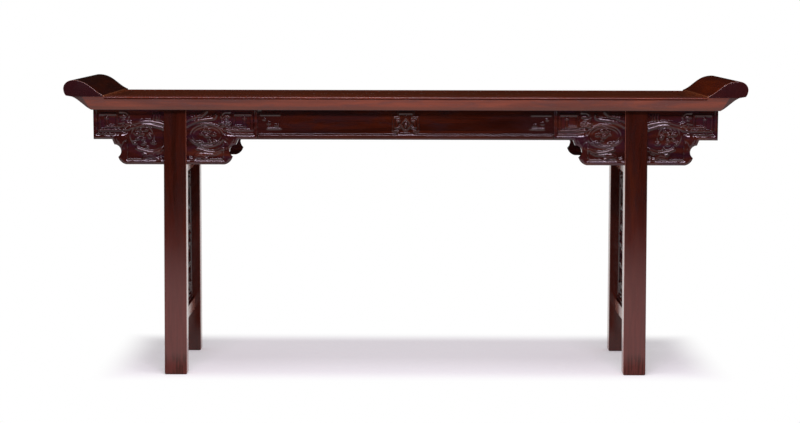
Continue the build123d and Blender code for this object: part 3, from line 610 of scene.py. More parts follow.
class Sheet:
    """A grid of faces cut to an outline, with its edge moved onto the outline."""

    def __init__(self, xs, zs, outline, sharp):
        columns, rows = len(xs), len(zs)
        grid_x, grid_z = np.meshgrid(xs, zs, indexing="ij")
        number = np.arange(columns * rows).reshape(columns, rows)
        centres = ((grid_x[1:, 1:] + grid_x[:-1, :-1]) / 2, (grid_z[1:, 1:] + grid_z[:-1, :-1]) / 2)
        kept = inside(centres, outline)
        corners = np.stack([number[:-1, :-1], number[1:, :-1], number[1:, 1:], number[:-1, 1:]], axis=-1)
        quads = corners[kept]
        used = np.unique(quads)
        renumber = np.full(columns * rows, -1)
        renumber[used] = np.arange(len(used))
        self.quads = renumber[quads]
        self.x = grid_x.ravel()[used]
        self.z = grid_z.ravel()[used]
        self.edges = self.open_edges()
        rim = np.unique(self.edges)
        moved = nearest_on(outline, self.x[rim], self.z[rim])
        self.x[rim], self.z[rim] = moved.T
        for point in sharp:
            at = rim[np.argmin(np.hypot(self.x[rim] - point[0], self.z[rim] - point[1]))]
            self.x[at], self.z[at] = point
        self.inset = distance_to(np.vstack([outline, outline[:1]]), self.x, self.z)

    def open_edges(self):
        """Edges that only one face has, in the order of that face's corners."""
        a = self.quads
        b = np.roll(a, -1, axis=1)
        pairs = np.column_stack([a.ravel(), b.ravel()])
        key = np.sort(pairs, axis=1)
        _, first, count = np.unique(key, axis=0, return_index=True, return_counts=True)
        return pairs[first[count == 1]]

    def rim_loop(self):
        """The vertices of the rim in order."""
        after = dict(self.edges.tolist())
        start = int(self.edges[0, 0])
        loop = [start]
        while after[loop[-1]] != start:
            loop.append(after[loop[-1]])
        return loop


def make_mesh(name, points, faces, crests=None):
    """A smooth-shaded mesh object from points in millimetres, and how far each one stands proud."""
    mesh = bpy.data.meshes.new(name)
    mesh.from_pydata((np.asarray(points) * MM).tolist(), [], faces)
    if crests is not None:
        layer = mesh.attributes.new("crest", "FLOAT", "POINT")
        layer.data.foreach_set("value", np.asarray(crests, np.float32))
    mesh.shade_smooth()
    mesh.set_sharp_from_angle(angle=math.radians(SHARP_ANGLE))
    mesh.update()
    made = bpy.data.objects.new(name, mesh)
    bpy.context.scene.collection.objects.link(made)
    return made


def neighbour_mean(sheet, values):
    """Mean of each point's neighbours on the sheet."""
    total = np.zeros(len(values))
    count = np.zeros(len(values))
    for shift in (1, 2, 3):
        other = np.roll(sheet.quads, shift, axis=1)
        np.add.at(total, sheet.quads.ravel(), values[other.ravel()])
        np.add.at(count, sheet.quads.ravel(), 1)
    return total / np.maximum(count, 1)


def soften(sheet, height, rounds=2):
    """Round the relief as sanding and lacquer do."""
    for _ in range(rounds):
        height = (height + neighbour_mean(sheet, height)) / 2
    return height


def crest(sheet, height):
    """How far each point stands above (or below) its neighbours, for grime and painted shade."""
    mean = height
    for _ in range(GRIME_AND_SHADE_REACH):
        mean = neighbour_mean(sheet, mean)
    return height - mean


def carved_board(name, sheet, height, thickness, place, mitre=None):
    """A board with one carved face. place turns (along, depth, up) arrays into the row frame."""
    up = soften(sheet, np.minimum(height(sheet.x, sheet.z, sheet.inset), RELIEF))
    depth = RELIEF - up
    front = place(sheet.x, depth, sheet.z)
    loop = sheet.rim_loop()
    back_x = sheet.x[loop] if mitre is None else mitre(sheet.x[loop])
    back = place(back_x, np.full(len(loop), thickness), sheet.z[loop])
    count = len(sheet.x)
    faces = sheet.quads.tolist()
    size = len(loop)
    for index in range(size):
        after = (index + 1) % size
        faces.append([loop[after], loop[index], count + index, count + after])
    faces.append([count + index for index in range(size)][::-1])
    crests = np.concatenate([crest(sheet, up), np.zeros(size)])
    return make_mesh(name, np.vstack([front, back]), faces, crests)


def facing(side, face):
    """Places a board made at the front right: its face looks to the front or to the back."""
    across = 1 if side == "right" else -1
    outward = 1 if face == "front" else -1

    def place(along, depth, up):
        return np.column_stack([across * along, outward * (BOARD_FACE_Y + depth), up])
    return place


def facing_end(side):
    """Places an end apron: its face looks out along the table's length."""
    across = 1 if side == "right" else -1

    def place(along, depth, up):
        return np.column_stack([across * (BOARD_END_X - depth), along, up])
    return place


def outward(piece):
    """Turn the faces so that they look out of the piece."""
    work = bmesh.new()
    work.from_mesh(piece.data)
    bmesh.ops.recalc_face_normals(work, faces=work.faces)
    work.to_mesh(piece.data)
    work.free()


def settle(piece, board):
    """A carved piece stands for its CAD board and moves with the table."""
    outward(piece)
    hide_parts(board)
    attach(piece, "root")
    return piece


def make_spandrels():
    """Four cloud-shaped boards, each mitred at its outer end."""
    outline, sharp = spandrel_outline()
    near_leg = LEG_HEAD_X - LEG_WIDTH / 2 - BEFORE_LEG
    past_leg = LEG_FOOT_X + LEG_WIDTH / 2 + BEHIND_LEG
    xs = run((SPANDREL_INNER_X, near_leg, CARVING_PITCH), (near_leg, past_leg, HIDDEN_PITCH),
             (past_leg, BOARD_END_X, CARVING_PITCH))
    zs = run((SPANDREL_BOTTOM_Z, APRON_BOTTOM_Z, CARVING_PITCH),
             (APRON_BOTTOM_Z, BOARD_TOP_Z, CARVING_PITCH))
    sheet = Sheet(xs, zs, outline, sharp)
    start = BOARD_END_X - 2 * BOARD_THICKNESS

    def mitre(x):
        return np.where(x > start, start + (x - start) / 2, x)

    made = []
    for face in ("front", "back"):
        for side in ("left", "right"):
            board = f"spandrel_{face}_{side}"
            piece = carved_board(f"carved_{board}", sheet, spandrel_height, BOARD_THICKNESS,
                                 facing(side, face), mitre)
            made.append(settle(piece, board))
    return made


def box_outline(x0, x1, z0, z1):
    """A rectangle's outline, which is all sharp corners."""
    return np.array([(x0, z0), (x1, z0), (x1, z1), (x0, z1)], float)


PLAIN_FIELD = (46.0, 368.0)     # the plain field's ends, from the middle of the apron


def make_centre_aprons():
    """The two straight aprons between the spandrel boards."""
    reach = SPANDREL_INNER_X
    outline = box_outline(-reach, reach, APRON_BOTTOM_Z, BOARD_TOP_Z)
    near, far = PLAIN_FIELD
    xs = run((-reach, -far, CARVING_PITCH), (-far, -near, PLAIN_PITCH), (-near, near, CARVING_PITCH),
             (near, far, PLAIN_PITCH), (far, reach, CARVING_PITCH))
    zs = run((APRON_BOTTOM_Z, BOARD_TOP_Z, CARVING_PITCH))
    sheet = Sheet(xs, zs, outline, outline)
    made = []
    for face in ("front", "back"):
        piece = carved_board(f"carved_apron_{face}", sheet, centre_apron_height, BOARD_THICKNESS,
                             facing("right", face))
        made.append(settle(piece, f"apron_{face}"))
    return made


def make_end_aprons():
    """The short aprons across the ends, mitred at both ends."""
    reach = -BOARD_FACE_Y
    outline = box_outline(-reach, reach, APRON_BOTTOM_Z, BOARD_TOP_Z)
    xs = run((-reach, reach, END_PITCH))
    zs = run((APRON_BOTTOM_Z, BOARD_TOP_Z, END_PITCH))
    sheet = Sheet(xs, zs, outline, outline)
    shrink = (reach - BOARD_THICKNESS) / reach
    made = []
    for side in ("left", "right"):
        piece = carved_board(f"carved_apron_end_{side}", sheet, end_apron_height, BOARD_THICKNESS,
                             facing_end(side), lambda y: y * shrink)
        made.append(settle(piece, f"apron_end_{side}"))
    return made


SIDE_PANEL_TONGUE = 7.0
SIDE_PANEL_THICKNESS = 16.0


def side_panel_outline():
    """Visible outline of a side panel in Y and Z, between the splayed legs."""
    low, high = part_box("side_panel_right")
    z0, z1 = low.z / MM + SIDE_PANEL_TONGUE, high.z / MM - SIDE_PANEL_TONGUE
    wide = high.y / MM - SIDE_PANEL_TONGUE
    narrow = wide - (z1 - z0) * LEG_SPLAY_DEPTHWAYS / BOARD_TOP_Z
    return np.array([(-wide, z0), (wide, z0), (narrow, z1), (-narrow, z1)])


def make_side_panels():
    """Panels between the legs, carved on both faces."""
    outline = side_panel_outline()
    wide = outline[1, 0]
    z0, z1 = outline[0, 1], outline[2, 1]
    half = SIDE_PANEL_THICKNESS / 2
    zs = run((z0, z1, PANEL_PITCH))
    shape = box_outline(-wide, wide, z0, z1)
    sheet = Sheet(run((-wide, wide, PANEL_PITCH)), zs, shape, shape)
    narrowing = 1 - (sheet.z - z0) / (z1 - z0) * (1 - outline[2, 0] / wide)
    sheet.x = sheet.x * narrowing
    sheet.inset = distance_to(np.vstack([outline, outline[:1]]), sheet.x, sheet.z)
    up = soften(sheet, np.minimum(panel_height(sheet.x, sheet.z, sheet.inset), RELIEF), 1)
    depth = half - (RELIEF - up)
    count = len(sheet.x)
    loop = sheet.rim_loop()
    size = len(loop)
    made = []
    for side in ("left", "right"):
        low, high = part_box(f"side_panel_{side}")
        middle = (low.x + high.x) / 2 / MM
        outer = np.column_stack([middle + depth, sheet.x, sheet.z])
        inner = np.column_stack([middle - depth, sheet.x, sheet.z])
        faces = sheet.quads.tolist() + (sheet.quads[:, ::-1] + count).tolist()
        for index in range(size):
            after = (index + 1) % size
            faces.append([loop[after], loop[index], count + loop[index], count + loop[after]])
        crests = np.tile(crest(sheet, up), 2)
        piece = make_mesh(f"carved_side_panel_{side}", np.vstack([outer, inner]), faces, crests)
        made.append(settle(piece, f"side_panel_{side}"))
    return made


FLANGE_ARRIS = 2.4
FLANGE_ARRIS_STEPS = 4
FLAT_ANGLE = 0.5            # degrees; edges flatter than this are left out of the flange's mesh
ARRIS_ANGLE = 35.0          # degrees; edges sharper than this are arrises


def make_flanges():
    """The flanges, with their arrises eased so that they catch a line of light."""
    made = []
    for side in ("left", "right"):
        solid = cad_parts[f"flange_{side}"]
        work = bmesh.new()
        work.from_mesh(solid.data)
        work.transform(solid.matrix_world)
        bmesh.ops.remove_doubles(work, verts=work.verts, dist=1e-5)
        bmesh.ops.dissolve_limit(work, angle_limit=math.radians(FLAT_ANGLE), verts=work.verts,
                                 edges=work.edges)
        arrises = [edge for edge in work.edges
                   if edge.is_manifold and edge.calc_face_angle() > math.radians(ARRIS_ANGLE)]
        bmesh.ops.bevel(work, geom=arrises, offset=FLANGE_ARRIS * MM, segments=FLANGE_ARRIS_STEPS,
                        profile=0.5, affect="EDGES", clamp_overlap=True)
        points = [tuple(vertex.co / MM) for vertex in work.verts]
        work.verts.index_update()
        faces = [[vertex.index for vertex in face.verts] for face in work.faces]
        work.free()
        piece = make_mesh(f"eased_flange_{side}", points, faces)
        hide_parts(f"flange_{side}")
        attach(piece, "root")
        made.append(piece)
    return made


# ---------------------------------------------------------------- rosewood
# Real sizes of the wood's markings in millimetres: length along the grain and width across it.
FIGURE = (340.0, 26.0)      # the broad light and dark figure
VEINS = (520.0, 9.0)        # the dark veins
PORES = (14.0, 0.9)         # open pores, drawn about three times as coarse as real ones to show
PATCHES = (130.0, 34.0)     # cooler and warmer patches of colour, and uneven wax
STREAKS = (90.0, 7.0)       # pale streaks on the lower legs
# Where in its pattern, from 0 to 1, each marking begins and where it is full.
FIGURE_STOPS = (0.32, 0.50, 0.70)
PATCH_SPAN = (0.46, 0.64)
VEIN_SPAN = (0.54, 0.68)
PORE_SPAN = (0.60, 0.72)
WAX_SPAN = (0.3, 0.7)
PATCH_STRENGTH = 0.55
PORE_STRENGTH = 0.45
PORE_STAIN = "180604"
PORE_ROUGHNESS = 0.2        # open pores are this much rougher than the film
WAX_ROUGHNESS = (-0.03, 0.05)   # added to the film's where the wax is thick, and where it is thin
LOG_STEP = (3.1, 2.3, 4.7)  # metres that the pieces' cuts may lie apart in the log
ARRIS = 1.2                 # radius of the eased edges
GRAIN_DEPTH = 0.2           # depth of the grain under the finger
GRAIN_STRENGTH = 0.12
FILM_IOR = 1.46             # shellac and wax
FILM_SPECULAR = 0.5         # specular level of a whole film
EASED = {"interpolation_type": "SMOOTHSTEP"}


def colour(hexadecimal):
    """An sRGB hex colour as linear red, green, blue and alpha."""
    made = []
    for start in (0, 2, 4):
        value = int(hexadecimal[start:start + 2], 16) / 255
        made.append(value / 12.92 if value <= 0.04045 else ((value + 0.055) / 1.055)**2.4)
    return (*made, 1.0)


def node(tree, kind, inputs=(), **settings):
    """Add a node with its settings and links.

    Inputs are given by name, or as a list in the node's own order. Each is a plain value, another
    node's output, or a node, which stands for its first output.
    """
    made = tree.nodes.new("ShaderNode" + kind)
    for name, value in settings.items():
        setattr(made, name, value)
    for name, value in inputs.items() if isinstance(inputs, dict) else enumerate(inputs):
        if isinstance(value, bpy.types.Node):
            value = value.outputs[0]
        if isinstance(value, bpy.types.NodeSocket):
            tree.links.new(value, made.inputs[name])
        else:
            made.inputs[name].default_value = value
    return made


def marking(tree, place, axis, size, detail, roughness=0.5, distortion=0.0):
    """One of the wood's markings, drawn out along the grain; size is its length and width."""
    along, across = 1 / (size[0] * MM), 1 / (size[1] * MM)
    scale = tuple(along if name == axis else across for name in "xyz")
    drawn_out = node(tree, "Mapping", {"Vector": place, "Scale": scale})
    return node(tree, "TexNoise", {"Vector": drawn_out, "Scale": 1.0, "Detail": detail,
                                   "Roughness": roughness, "Distortion": distortion})


def stained(tree, wood, stain, measure, start, end):
    """Stain the wood: not at all where the measure is at start, at full strength beyond end."""
    tint, strength = stain
    share = node(tree, "MapRange", [measure, start, end, 0.0, strength], **EASED)
    return node(tree, "MixRGB", [share, wood, colour(tint)])


def rosewood(name, axis, shades, polish, veining=0.5, cool="2c1014", change=None, film=None):
    """Rosewood, planed, filled and polished: close dark figure under a warm waxed film.

    To the eye it is a deep red-brown with darker veins, cooler patches and fine open pores.
    axis is the way of its grain, and shades are its deep, middle and pale colours. change may
    alter the colour further: it gets the tree, the place and the colour so far. film gives how
    much of the film's shine is left at each place.
    """
    material = bpy.data.materials.new(name)
    material.use_nodes = True
    tree = material.node_tree
    tree.nodes.clear()
    place = node(tree, "TexCoord").outputs["Object"]
    chance = node(tree, "ObjectInfo").outputs["Random"]
    shift = node(tree, "VectorMath", [chance, LOG_STEP], operation="MULTIPLY")
    in_log = node(tree, "VectorMath", [place, shift], operation="ADD")
    figure = marking(tree, in_log, axis, FIGURE, 5.0, 0.55, 0.7)
    veins = marking(tree, in_log, axis, VEINS, 4.0, 0.6, 0.4)
    pores = marking(tree, in_log, axis, PORES, 2.0)
    patches = marking(tree, in_log, axis, PATCHES, 3.0, 0.6, 0.5)

    wood = node(tree, "ValToRGB", [figure])
    stops = wood.color_ramp.elements
    stops.new(FIGURE_STOPS[1])
    for stop, position, shade in zip(stops, FIGURE_STOPS, shades):
        stop.position, stop.color = position, colour(shade)
    wood = stained(tree, wood, (cool, PATCH_STRENGTH), patches, *PATCH_SPAN)
    wood = stained(tree, wood, (shades[0], veining), veins, *VEIN_SPAN)
    pore = node(tree, "MapRange", [pores, *PORE_SPAN, 0.0, PORE_STRENGTH], **EASED)
    wood = node(tree, "MixRGB", [pore, wood, colour(PORE_STAIN)])
    if change:
        wood = change(tree, place, wood)

    rough = [polish + more for more in WAX_ROUGHNESS]
    wax = node(tree, "MapRange", [patches, *WAX_SPAN, *rough], **EASED)
    roughness = node(tree, "Math", [pore, PORE_ROUGHNESS, wax], operation="MULTIPLY_ADD")
    # worn arrises are slightly round, and catch a thin line of light
    arris = node(tree, "Bevel", {"Radius": ARRIS * MM}, samples=4)
    height = node(tree, "Math", [pore, -1.0, figure], operation="MULTIPLY_ADD")
    bump = node(tree, "Bump", {"Strength": GRAIN_STRENGTH, "Distance": GRAIN_DEPTH * MM,
                               "Height": height, "Normal": arris})
    shader = node(tree, "BsdfPrincipled", {"Base Color": wood, "Roughness": roughness,
                                           "IOR": FILM_IOR, "Normal": bump})
    if film:
        shine = node(tree, "Math", [film(tree, place), FILM_SPECULAR], operation="MULTIPLY")
        tree.links.new(shine.outputs[0], shader.inputs["Specular IOR Level"])
    node(tree, "OutputMaterial", {"Surface": shader})
    return material


# ---------------------------------------------------------------- stain, grime, wear, and painted light and shade
# Each stain is the colour that the wood turns to, and how far it turns. Lengths are in millimetres.
GRIME_AND_SHADE = ("140504", 0.40)
GRIME_AND_SHADE_SPAN = (-0.05, -0.5)      # depth of a corner against what lies round it

# The straight apron: distances from the middle, and heights over its lower edge.
COOL_END = ("2c1010", 0.60)
COOL_END_SPAN = (300.0, 420.0)
LIP_SHEEN = ("44231a", 0.35)
LIP_SHEEN_SPAN = (15.0, 11.0)

# The legs: heights over the floor.
SCUFFED_FILM = 0.35             # what is left of the film at the floor
SCUFFED_SPAN = (20.0, 70.0)
PAINTED_FLOOR_LIGHT = ("5e2a24", 0.85)
PAINTED_FLOOR_LIGHT_SPAN = (600.0, 120.0)
STREAKED = ("46201a", 0.45)
STREAKED_SPAN = (0.40, 0.62)    # where in its pattern, from 0 to 1
BLOTCHED = ("34140a", 0.70)
BLOTCHED_LEAST = 0.15           # how far the lightest place turns
BLOTCHED_SPAN = (0.42, 0.56)
BLOTCHED_HEIGHT = (75.0, 45.0)

# The moulded edge: depths under its top, heights over its foot, and distances from the middle.
QUIRK_SHADE = "3a1004"
QUIRK_HEAD = (3.4, 4.2)
QUIRK_FOOT = (7.8, 6.6)
QUIRK_END = (914.0, 910.0)
BEAD_FILM = 0.78                # what is left of the film on the bead
BEAD_FOOT = (4.0, 3.0)
COOL_HALF = ("4c2313", 0.60)
COOL_HALF_SPAN = (15.0, 6.0)
ARRIS_SHADE = ("240a05", 0.80)
ARRIS_SHADE_SPAN = (2.0, 0.8)
END_GRAIN_SHADE = ("2a1412", 0.85)
END_GRAIN_SHADE_START = 956.0         # where the line that it starts at meets the edge's foot
END_GRAIN_SHADE_LEAN = 0.57           # how fast that line leans out as it rises
END_GRAIN_SHADE_BLUR = 3.0

# The flanges: how far a face looks sideways, from 0 to 1, and distances from the middle.
FLANGE_END = ("2a1013", 0.90)
FLANGE_END_SPAN = (0.6, 0.9)
RUBBED_ARRIS_AND_HIGHLIGHT = ("a06a58", 0.60)
RUBBED_ARRIS_AND_HIGHLIGHT_SPAN = (0.15, 0.35)
RUBBED_ARRIS_AND_HIGHLIGHT_END = (0.97, 0.85)
FLANGE_JOINT = ("a8623c", 0.45)
FLANGE_JOINT_SPAN = (916.0, 914.5)

# Faces that look in: the part of their direction that does, times their distance out in metres.
PALE_INSIDE = ("9c5c4a", 0.85)
PALE_INSIDE_SPAN = (-0.35, -0.6)


def metres(span, start=0.0):
    """Both ends of a span of millimetres, measured from start, in metres."""
    return [(start + end) * MM for end in span]


def grime_and_shade_in_carving(tree, place, wood):
    """Old wax and dust, with painted shade, darken the corners at the foot of the relief."""
    rise = node(tree, "Attribute", attribute_name="crest").outputs["Fac"]
    # painted shade and grime: the hollows at the foot of the relief are darkened in colour
    return stained(tree, wood, GRIME_AND_SHADE, rise, *GRIME_AND_SHADE_SPAN)


def lip_sheen_and_cool_ends(tree, place, wood):
    """The lip is painted paler as a painted sheen, the field's ends are cooler in colour, and its hollows
    get grime and painted shade.
    """
    x, _, z = node(tree, "SeparateXYZ", [place]).outputs
    out = node(tree, "Math", [x], operation="ABSOLUTE")
    wood = stained(tree, wood, COOL_END, out, *metres(COOL_END_SPAN))
    wood = grime_and_shade_in_carving(tree, place, wood)
    # painted sheen: the lip is made paler to stand in for the light that it reflects
    return stained(tree, wood, LIP_SHEEN, z, *metres(LIP_SHEEN_SPAN, APRON_BOTTOM_Z))


def scuffed_foot(tree, place):
    """Mopping has taken the film off the lowest few centimetres."""
    level = node(tree, "SeparateXYZ", [place]).outputs[2]
    return node(tree, "MapRange", [level, *metres(SCUFFED_SPAN), SCUFFED_FILM, 1.0], **EASED)


def floor_lit_foot(tree, place, wood):
    """The lower part of a leg is painted paler, as painted light from the white floor, and is streaked
    there.
    """
    level = node(tree, "SeparateXYZ", [place]).outputs[2]
    # painted light: the leg grows paler towards the floor, as if lit from below by it
    floor_lit = node(tree, "MapRange", [level, *metres(PAINTED_FLOOR_LIGHT_SPAN), 0.0, PAINTED_FLOOR_LIGHT[1]], **EASED)
    wood = node(tree, "MixRGB", [floor_lit, wood, colour(PAINTED_FLOOR_LIGHT[0])])
    streaks = marking(tree, place, "z", STREAKS, 3.0)
    streak = node(tree, "MapRange", [streaks, *STREAKED_SPAN, 0.0, STREAKED[1]], **EASED)
    streak = node(tree, "Math", [streak, floor_lit], operation="MULTIPLY")
    wood = node(tree, "MixRGB", [streak, wood, colour(STREAKED[0])])
    blotch = node(tree, "MapRange", [streaks, *BLOTCHED_SPAN, BLOTCHED_LEAST, BLOTCHED[1]], **EASED)
    low = node(tree, "MapRange", [level, *metres(BLOTCHED_HEIGHT), 0.0, 1.0], **EASED)
    blotch = node(tree, "Math", [low, blotch], operation="MULTIPLY")
    return node(tree, "MixRGB", [blotch, wood, colour(BLOTCHED[0])])


def in_quirk(tree, place):
    """1 in the groove under the bead, between the flanges."""
    x, _, z = node(tree, "SeparateXYZ", [place]).outputs
    out = node(tree, "Math", [x], operation="ABSOLUTE")
    depth = node(tree, "Math", [RAIL_TOP_Z * MM, z], operation="SUBTRACT")
    below_head = node(tree, "MapRange", [depth, *metres(QUIRK_HEAD), 0.0, 1.0], **EASED)
    above_foot = node(tree, "MapRange", [depth, *metres(QUIRK_FOOT), 0.0, 1.0], **EASED)
    between_ends = node(tree, "MapRange", [out, *metres(QUIRK_END), 0.0, 1.0], **EASED)
    groove = node(tree, "Math", [below_head, above_foot], operation="MULTIPLY")
    return node(tree, "Math", [groove, between_ends], operation="MULTIPLY")


def dull_quirk(tree, place):
    """The groove under the bead was never rubbed to a shine, and the bead has lost a little."""
    z = node(tree, "SeparateXYZ", [place]).outputs[2]
    depth = node(tree, "Math", [RAIL_TOP_Z * MM, z], operation="SUBTRACT")
    film = node(tree, "MapRange", [depth, *metres(BEAD_FOOT), 1.0, BEAD_FILM], **EASED)
    return node(tree, "Math", [film, in_quirk(tree, place)], operation="SUBTRACT")


def dark_quirk_and_end(tree, place, wood):
    """Painted shade in the groove and on the lower arris, a cooler lower half, and painted shade on the end
    grain at the coves.
    """
    x, _, z = node(tree, "SeparateXYZ", [place]).outputs
    wood = stained(tree, wood, COOL_HALF, z, *metres(COOL_HALF_SPAN, BOARD_TOP_Z))
    # painted shade on the lower arris, where the edge meets the parts below it
    wood = stained(tree, wood, ARRIS_SHADE, z, *metres(ARRIS_SHADE_SPAN, BOARD_TOP_Z))
    # painted shade in the groove under the bead
    wood = node(tree, "MixRGB", [in_quirk(tree, place), wood, colour(QUIRK_SHADE)])
    # the painted shade on the end grain starts at a line that leans out from the cove's foot to its head
    out = node(tree, "Math", [x], operation="ABSOLUTE")
    leaning = node(tree, "Math", [z, -END_GRAIN_SHADE_LEAN, out], operation="MULTIPLY_ADD")
    start = END_GRAIN_SHADE_START - END_GRAIN_SHADE_LEAN * BOARD_TOP_Z
    return stained(tree, wood, END_GRAIN_SHADE, leaning, *metres((-END_GRAIN_SHADE_BLUR, END_GRAIN_SHADE_BLUR), start))


def dark_end_face(tree, place, wood):
    """The flange's end grain drinks the stain and is darker; its arrises are painted pale, partly rubbed
    wear and partly a painted highlight.
    """
    way = node(tree, "NewGeometry").outputs["Normal"]
    sideways = node(tree, "SeparateXYZ", [way]).outputs[1]
    sideways = node(tree, "Math", [sideways], operation="ABSOLUTE")
    wood = stained(tree, wood, FLANGE_END, sideways, *FLANGE_END_SPAN)
    # painted highlight and wear: the eased arrises get a pale line
    off_top = node(tree, "MapRange", [sideways, *RUBBED_ARRIS_AND_HIGHLIGHT_SPAN, 0.0, 1.0], **EASED)
    off_end = node(tree, "MapRange", [sideways, *RUBBED_ARRIS_AND_HIGHLIGHT_END, 0.0, RUBBED_ARRIS_AND_HIGHLIGHT[1]], **EASED)
    arris = node(tree, "Math", [off_top, off_end], operation="MULTIPLY")
    wood = node(tree, "MixRGB", [arris, wood, colour(RUBBED_ARRIS_AND_HIGHLIGHT[0])])
    x = node(tree, "SeparateXYZ", [place]).outputs[0]
    out = node(tree, "Math", [x], operation="ABSOLUTE")
    return stained(tree, wood, FLANGE_JOINT, out, *metres(FLANGE_JOINT_SPAN))


def pale_inner_face(tree, place, wood):
    """The faces that look in under the table, towards its middle, are paler."""
    way = node(tree, "NewGeometry").outputs["Normal"]
    lengthways = node(tree, "SeparateXYZ", [way]).outputs[0]
    x = node(tree, "SeparateXYZ", [place]).outputs[0]
    inward = node(tree, "Math", [lengthways, x], operation="MULTIPLY")
    return stained(tree, wood, PALE_INSIDE, inward, *PALE_INSIDE_SPAN)


def floor_lit_leg(tree, place, wood):
    """A front leg: painted paler at the foot as painted floor light, blotched there, and pale on its inner
    face.
    """
    return pale_inner_face(tree, place, floor_lit_foot(tree, place, wood))


# Each wood's deep, middle and pale shades.
LEG_SHADES = ("280c05", "331008", "3f170a")
HIND_LEG_SHADES = ("3a1108", "42150c", "4c1b10")
RUNG_SHADES = ("310f08", "3b130b", "46190f")
EDGE_SHADES = ("50190a", "642611", "763017")
TOP_SHADES = ("521f0a", "662a0e", "7c3614")
LEFT_FLANGE_SHADES = ("260a03", "320e04", "401406")
RIGHT_FLANGE_SHADES = ("461302", "561a03", "642206")
UNPOLISHED_SHADES = ("3c2014", "5a3422", "74482f")
APRON_SHADES = ("200703", "300e05", "421607")
CARVED_SHADES = ("260b09", "38140f", "4c2114")


def finish_pieces(own):
    """Give every piece its rosewood, with the grain along its own length."""
    leg = rosewood("rosewood_leg", "z", LEG_SHADES, 0.14, 0.35, "2a0d09", floor_lit_leg, scuffed_foot)
    hind_leg = rosewood("rosewood_leg_back", "z", HIND_LEG_SHADES, 0.14, 0.25, "3a120a", pale_inner_face)
    rung = rosewood("rosewood_leg_grain_across", "y", RUNG_SHADES, 0.17, change=pale_inner_face)
    edge = rosewood("rosewood_moulded_edge", "x", EDGE_SHADES, 0.20, 0.4, "4c2420", dark_quirk_and_end,
                    dull_quirk)
    top = rosewood("rosewood_tabletop", "x", TOP_SHADES, 0.12, 0.4, "4c1f09")
    breadboard = rosewood("rosewood_tabletop_end", "y", TOP_SHADES, 0.12, 0.4, "4c1f09")
    left_flange = rosewood("rosewood_flange", "y", LEFT_FLANGE_SHADES, 0.13, 0.5, "260a08", dark_end_face)
    right_flange = rosewood("rosewood_flange_pale", "y", RIGHT_FLANGE_SHADES, 0.13, 0.5, "461206",
                            dark_end_face)
    unpolished = rosewood("rosewood_unpolished", "y", UNPOLISHED_SHADES, 0.62)
    field = rosewood("rosewood_apron_field", "x", APRON_SHADES, 0.14, 0.5, "240c10", lip_sheen_and_cool_ends)
    carved = {axis: rosewood(f"rosewood_carved_{axis}", axis, CARVED_SHADES, 0.10, 0.5, "2a1024",
                             grime_and_shade_in_carving) for axis in "xyz"}
    # the first start of a name that fits gives the wood
    woods = {
        "leg_front": leg,
        "leg_back": hind_leg,
        "side_stretcher": rung,
        "top_rail": edge,
        "top_end": breadboard,
        "top_panel": top,
        "flange": left_flange,
        "eased_flange_left": left_flange,
        "eased_flange_right": right_flange,
        "carved_apron_end": carved["y"],
        "carved_apron": field,
        "carved_side_panel": carved["z"],
        "carved": carved["x"],
        "": unpolished,
    }
    for name, piece in [*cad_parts.items(), *[(piece.name, piece) for piece in own]]:
        wood = next(wood for start, wood in woods.items() if name.startswith(start))
        piece.data.materials.clear()
        piece.data.materials.append(wood)


# ---------------------------------------------------------------- floor, light and camera
# Lengths from here on are in metres.
FLOOR_FRONT = -3.4
FLOOR_REACH = 9.0
FLOOR_WHITE = 0.88          # what the floor sends back to the table
SHADOW_MIDDLE = (0.025, 0.085)  # the floor fades to white round the table's own shadow
SHADOW_HALF = (0.915, 0.33)
SHADOW_ROUND = 0.08
SHADOW_FADE = 0.17
SHADOW_STRENGTH = 0.80
SHADOW_LIFT = 1.02          # the floor's brightness outside the shadow, before it fades to white

AMBIENT = 0.42              # soft light from all round, as a share of white
DARK_SIDE = 0.005           # what a glossy face mirrors at the sides
BRIGHT_CEILING = 1.6        # and from the ceiling
CEILING_SPAN = (0.62, 0.95)     # how far up the ceiling begins and is bright, from 0 to 1
OVERHEAD_SHARE = 0.40       # what the overhead light adds on a surface that faces it
OVERHEAD_PLACE = (0.0, -0.75, 4.2)
OVERHEAD_SIZE = (1.3, 1.3)
OVERHEAD_TARGET = (0.0, 0.0, 0.86)
OVERHEAD_TINT = (0.96, 0.95, 1.0)
FRONT_SHARE = 0.66          # and what the long front light adds
FRONT_PLACE = (0.0, -4.3, 2.95)
FRONT_SIZE = (3.4, 0.45)
FRONT_TARGET = (0.0, 0.0, 0.75)
FRONT_TINT = (0.97, 0.80, 1.0)

CAMERA_PLACE = (-0.0168, -5.628, 1.1317)
CAMERA_LENS = 80.2          # millimetres, for a frame of the next width
CAMERA_FRAME = 36.0
CAMERA_DOWN = 6.57          # degrees
CAMERA_ROLL = 0.13


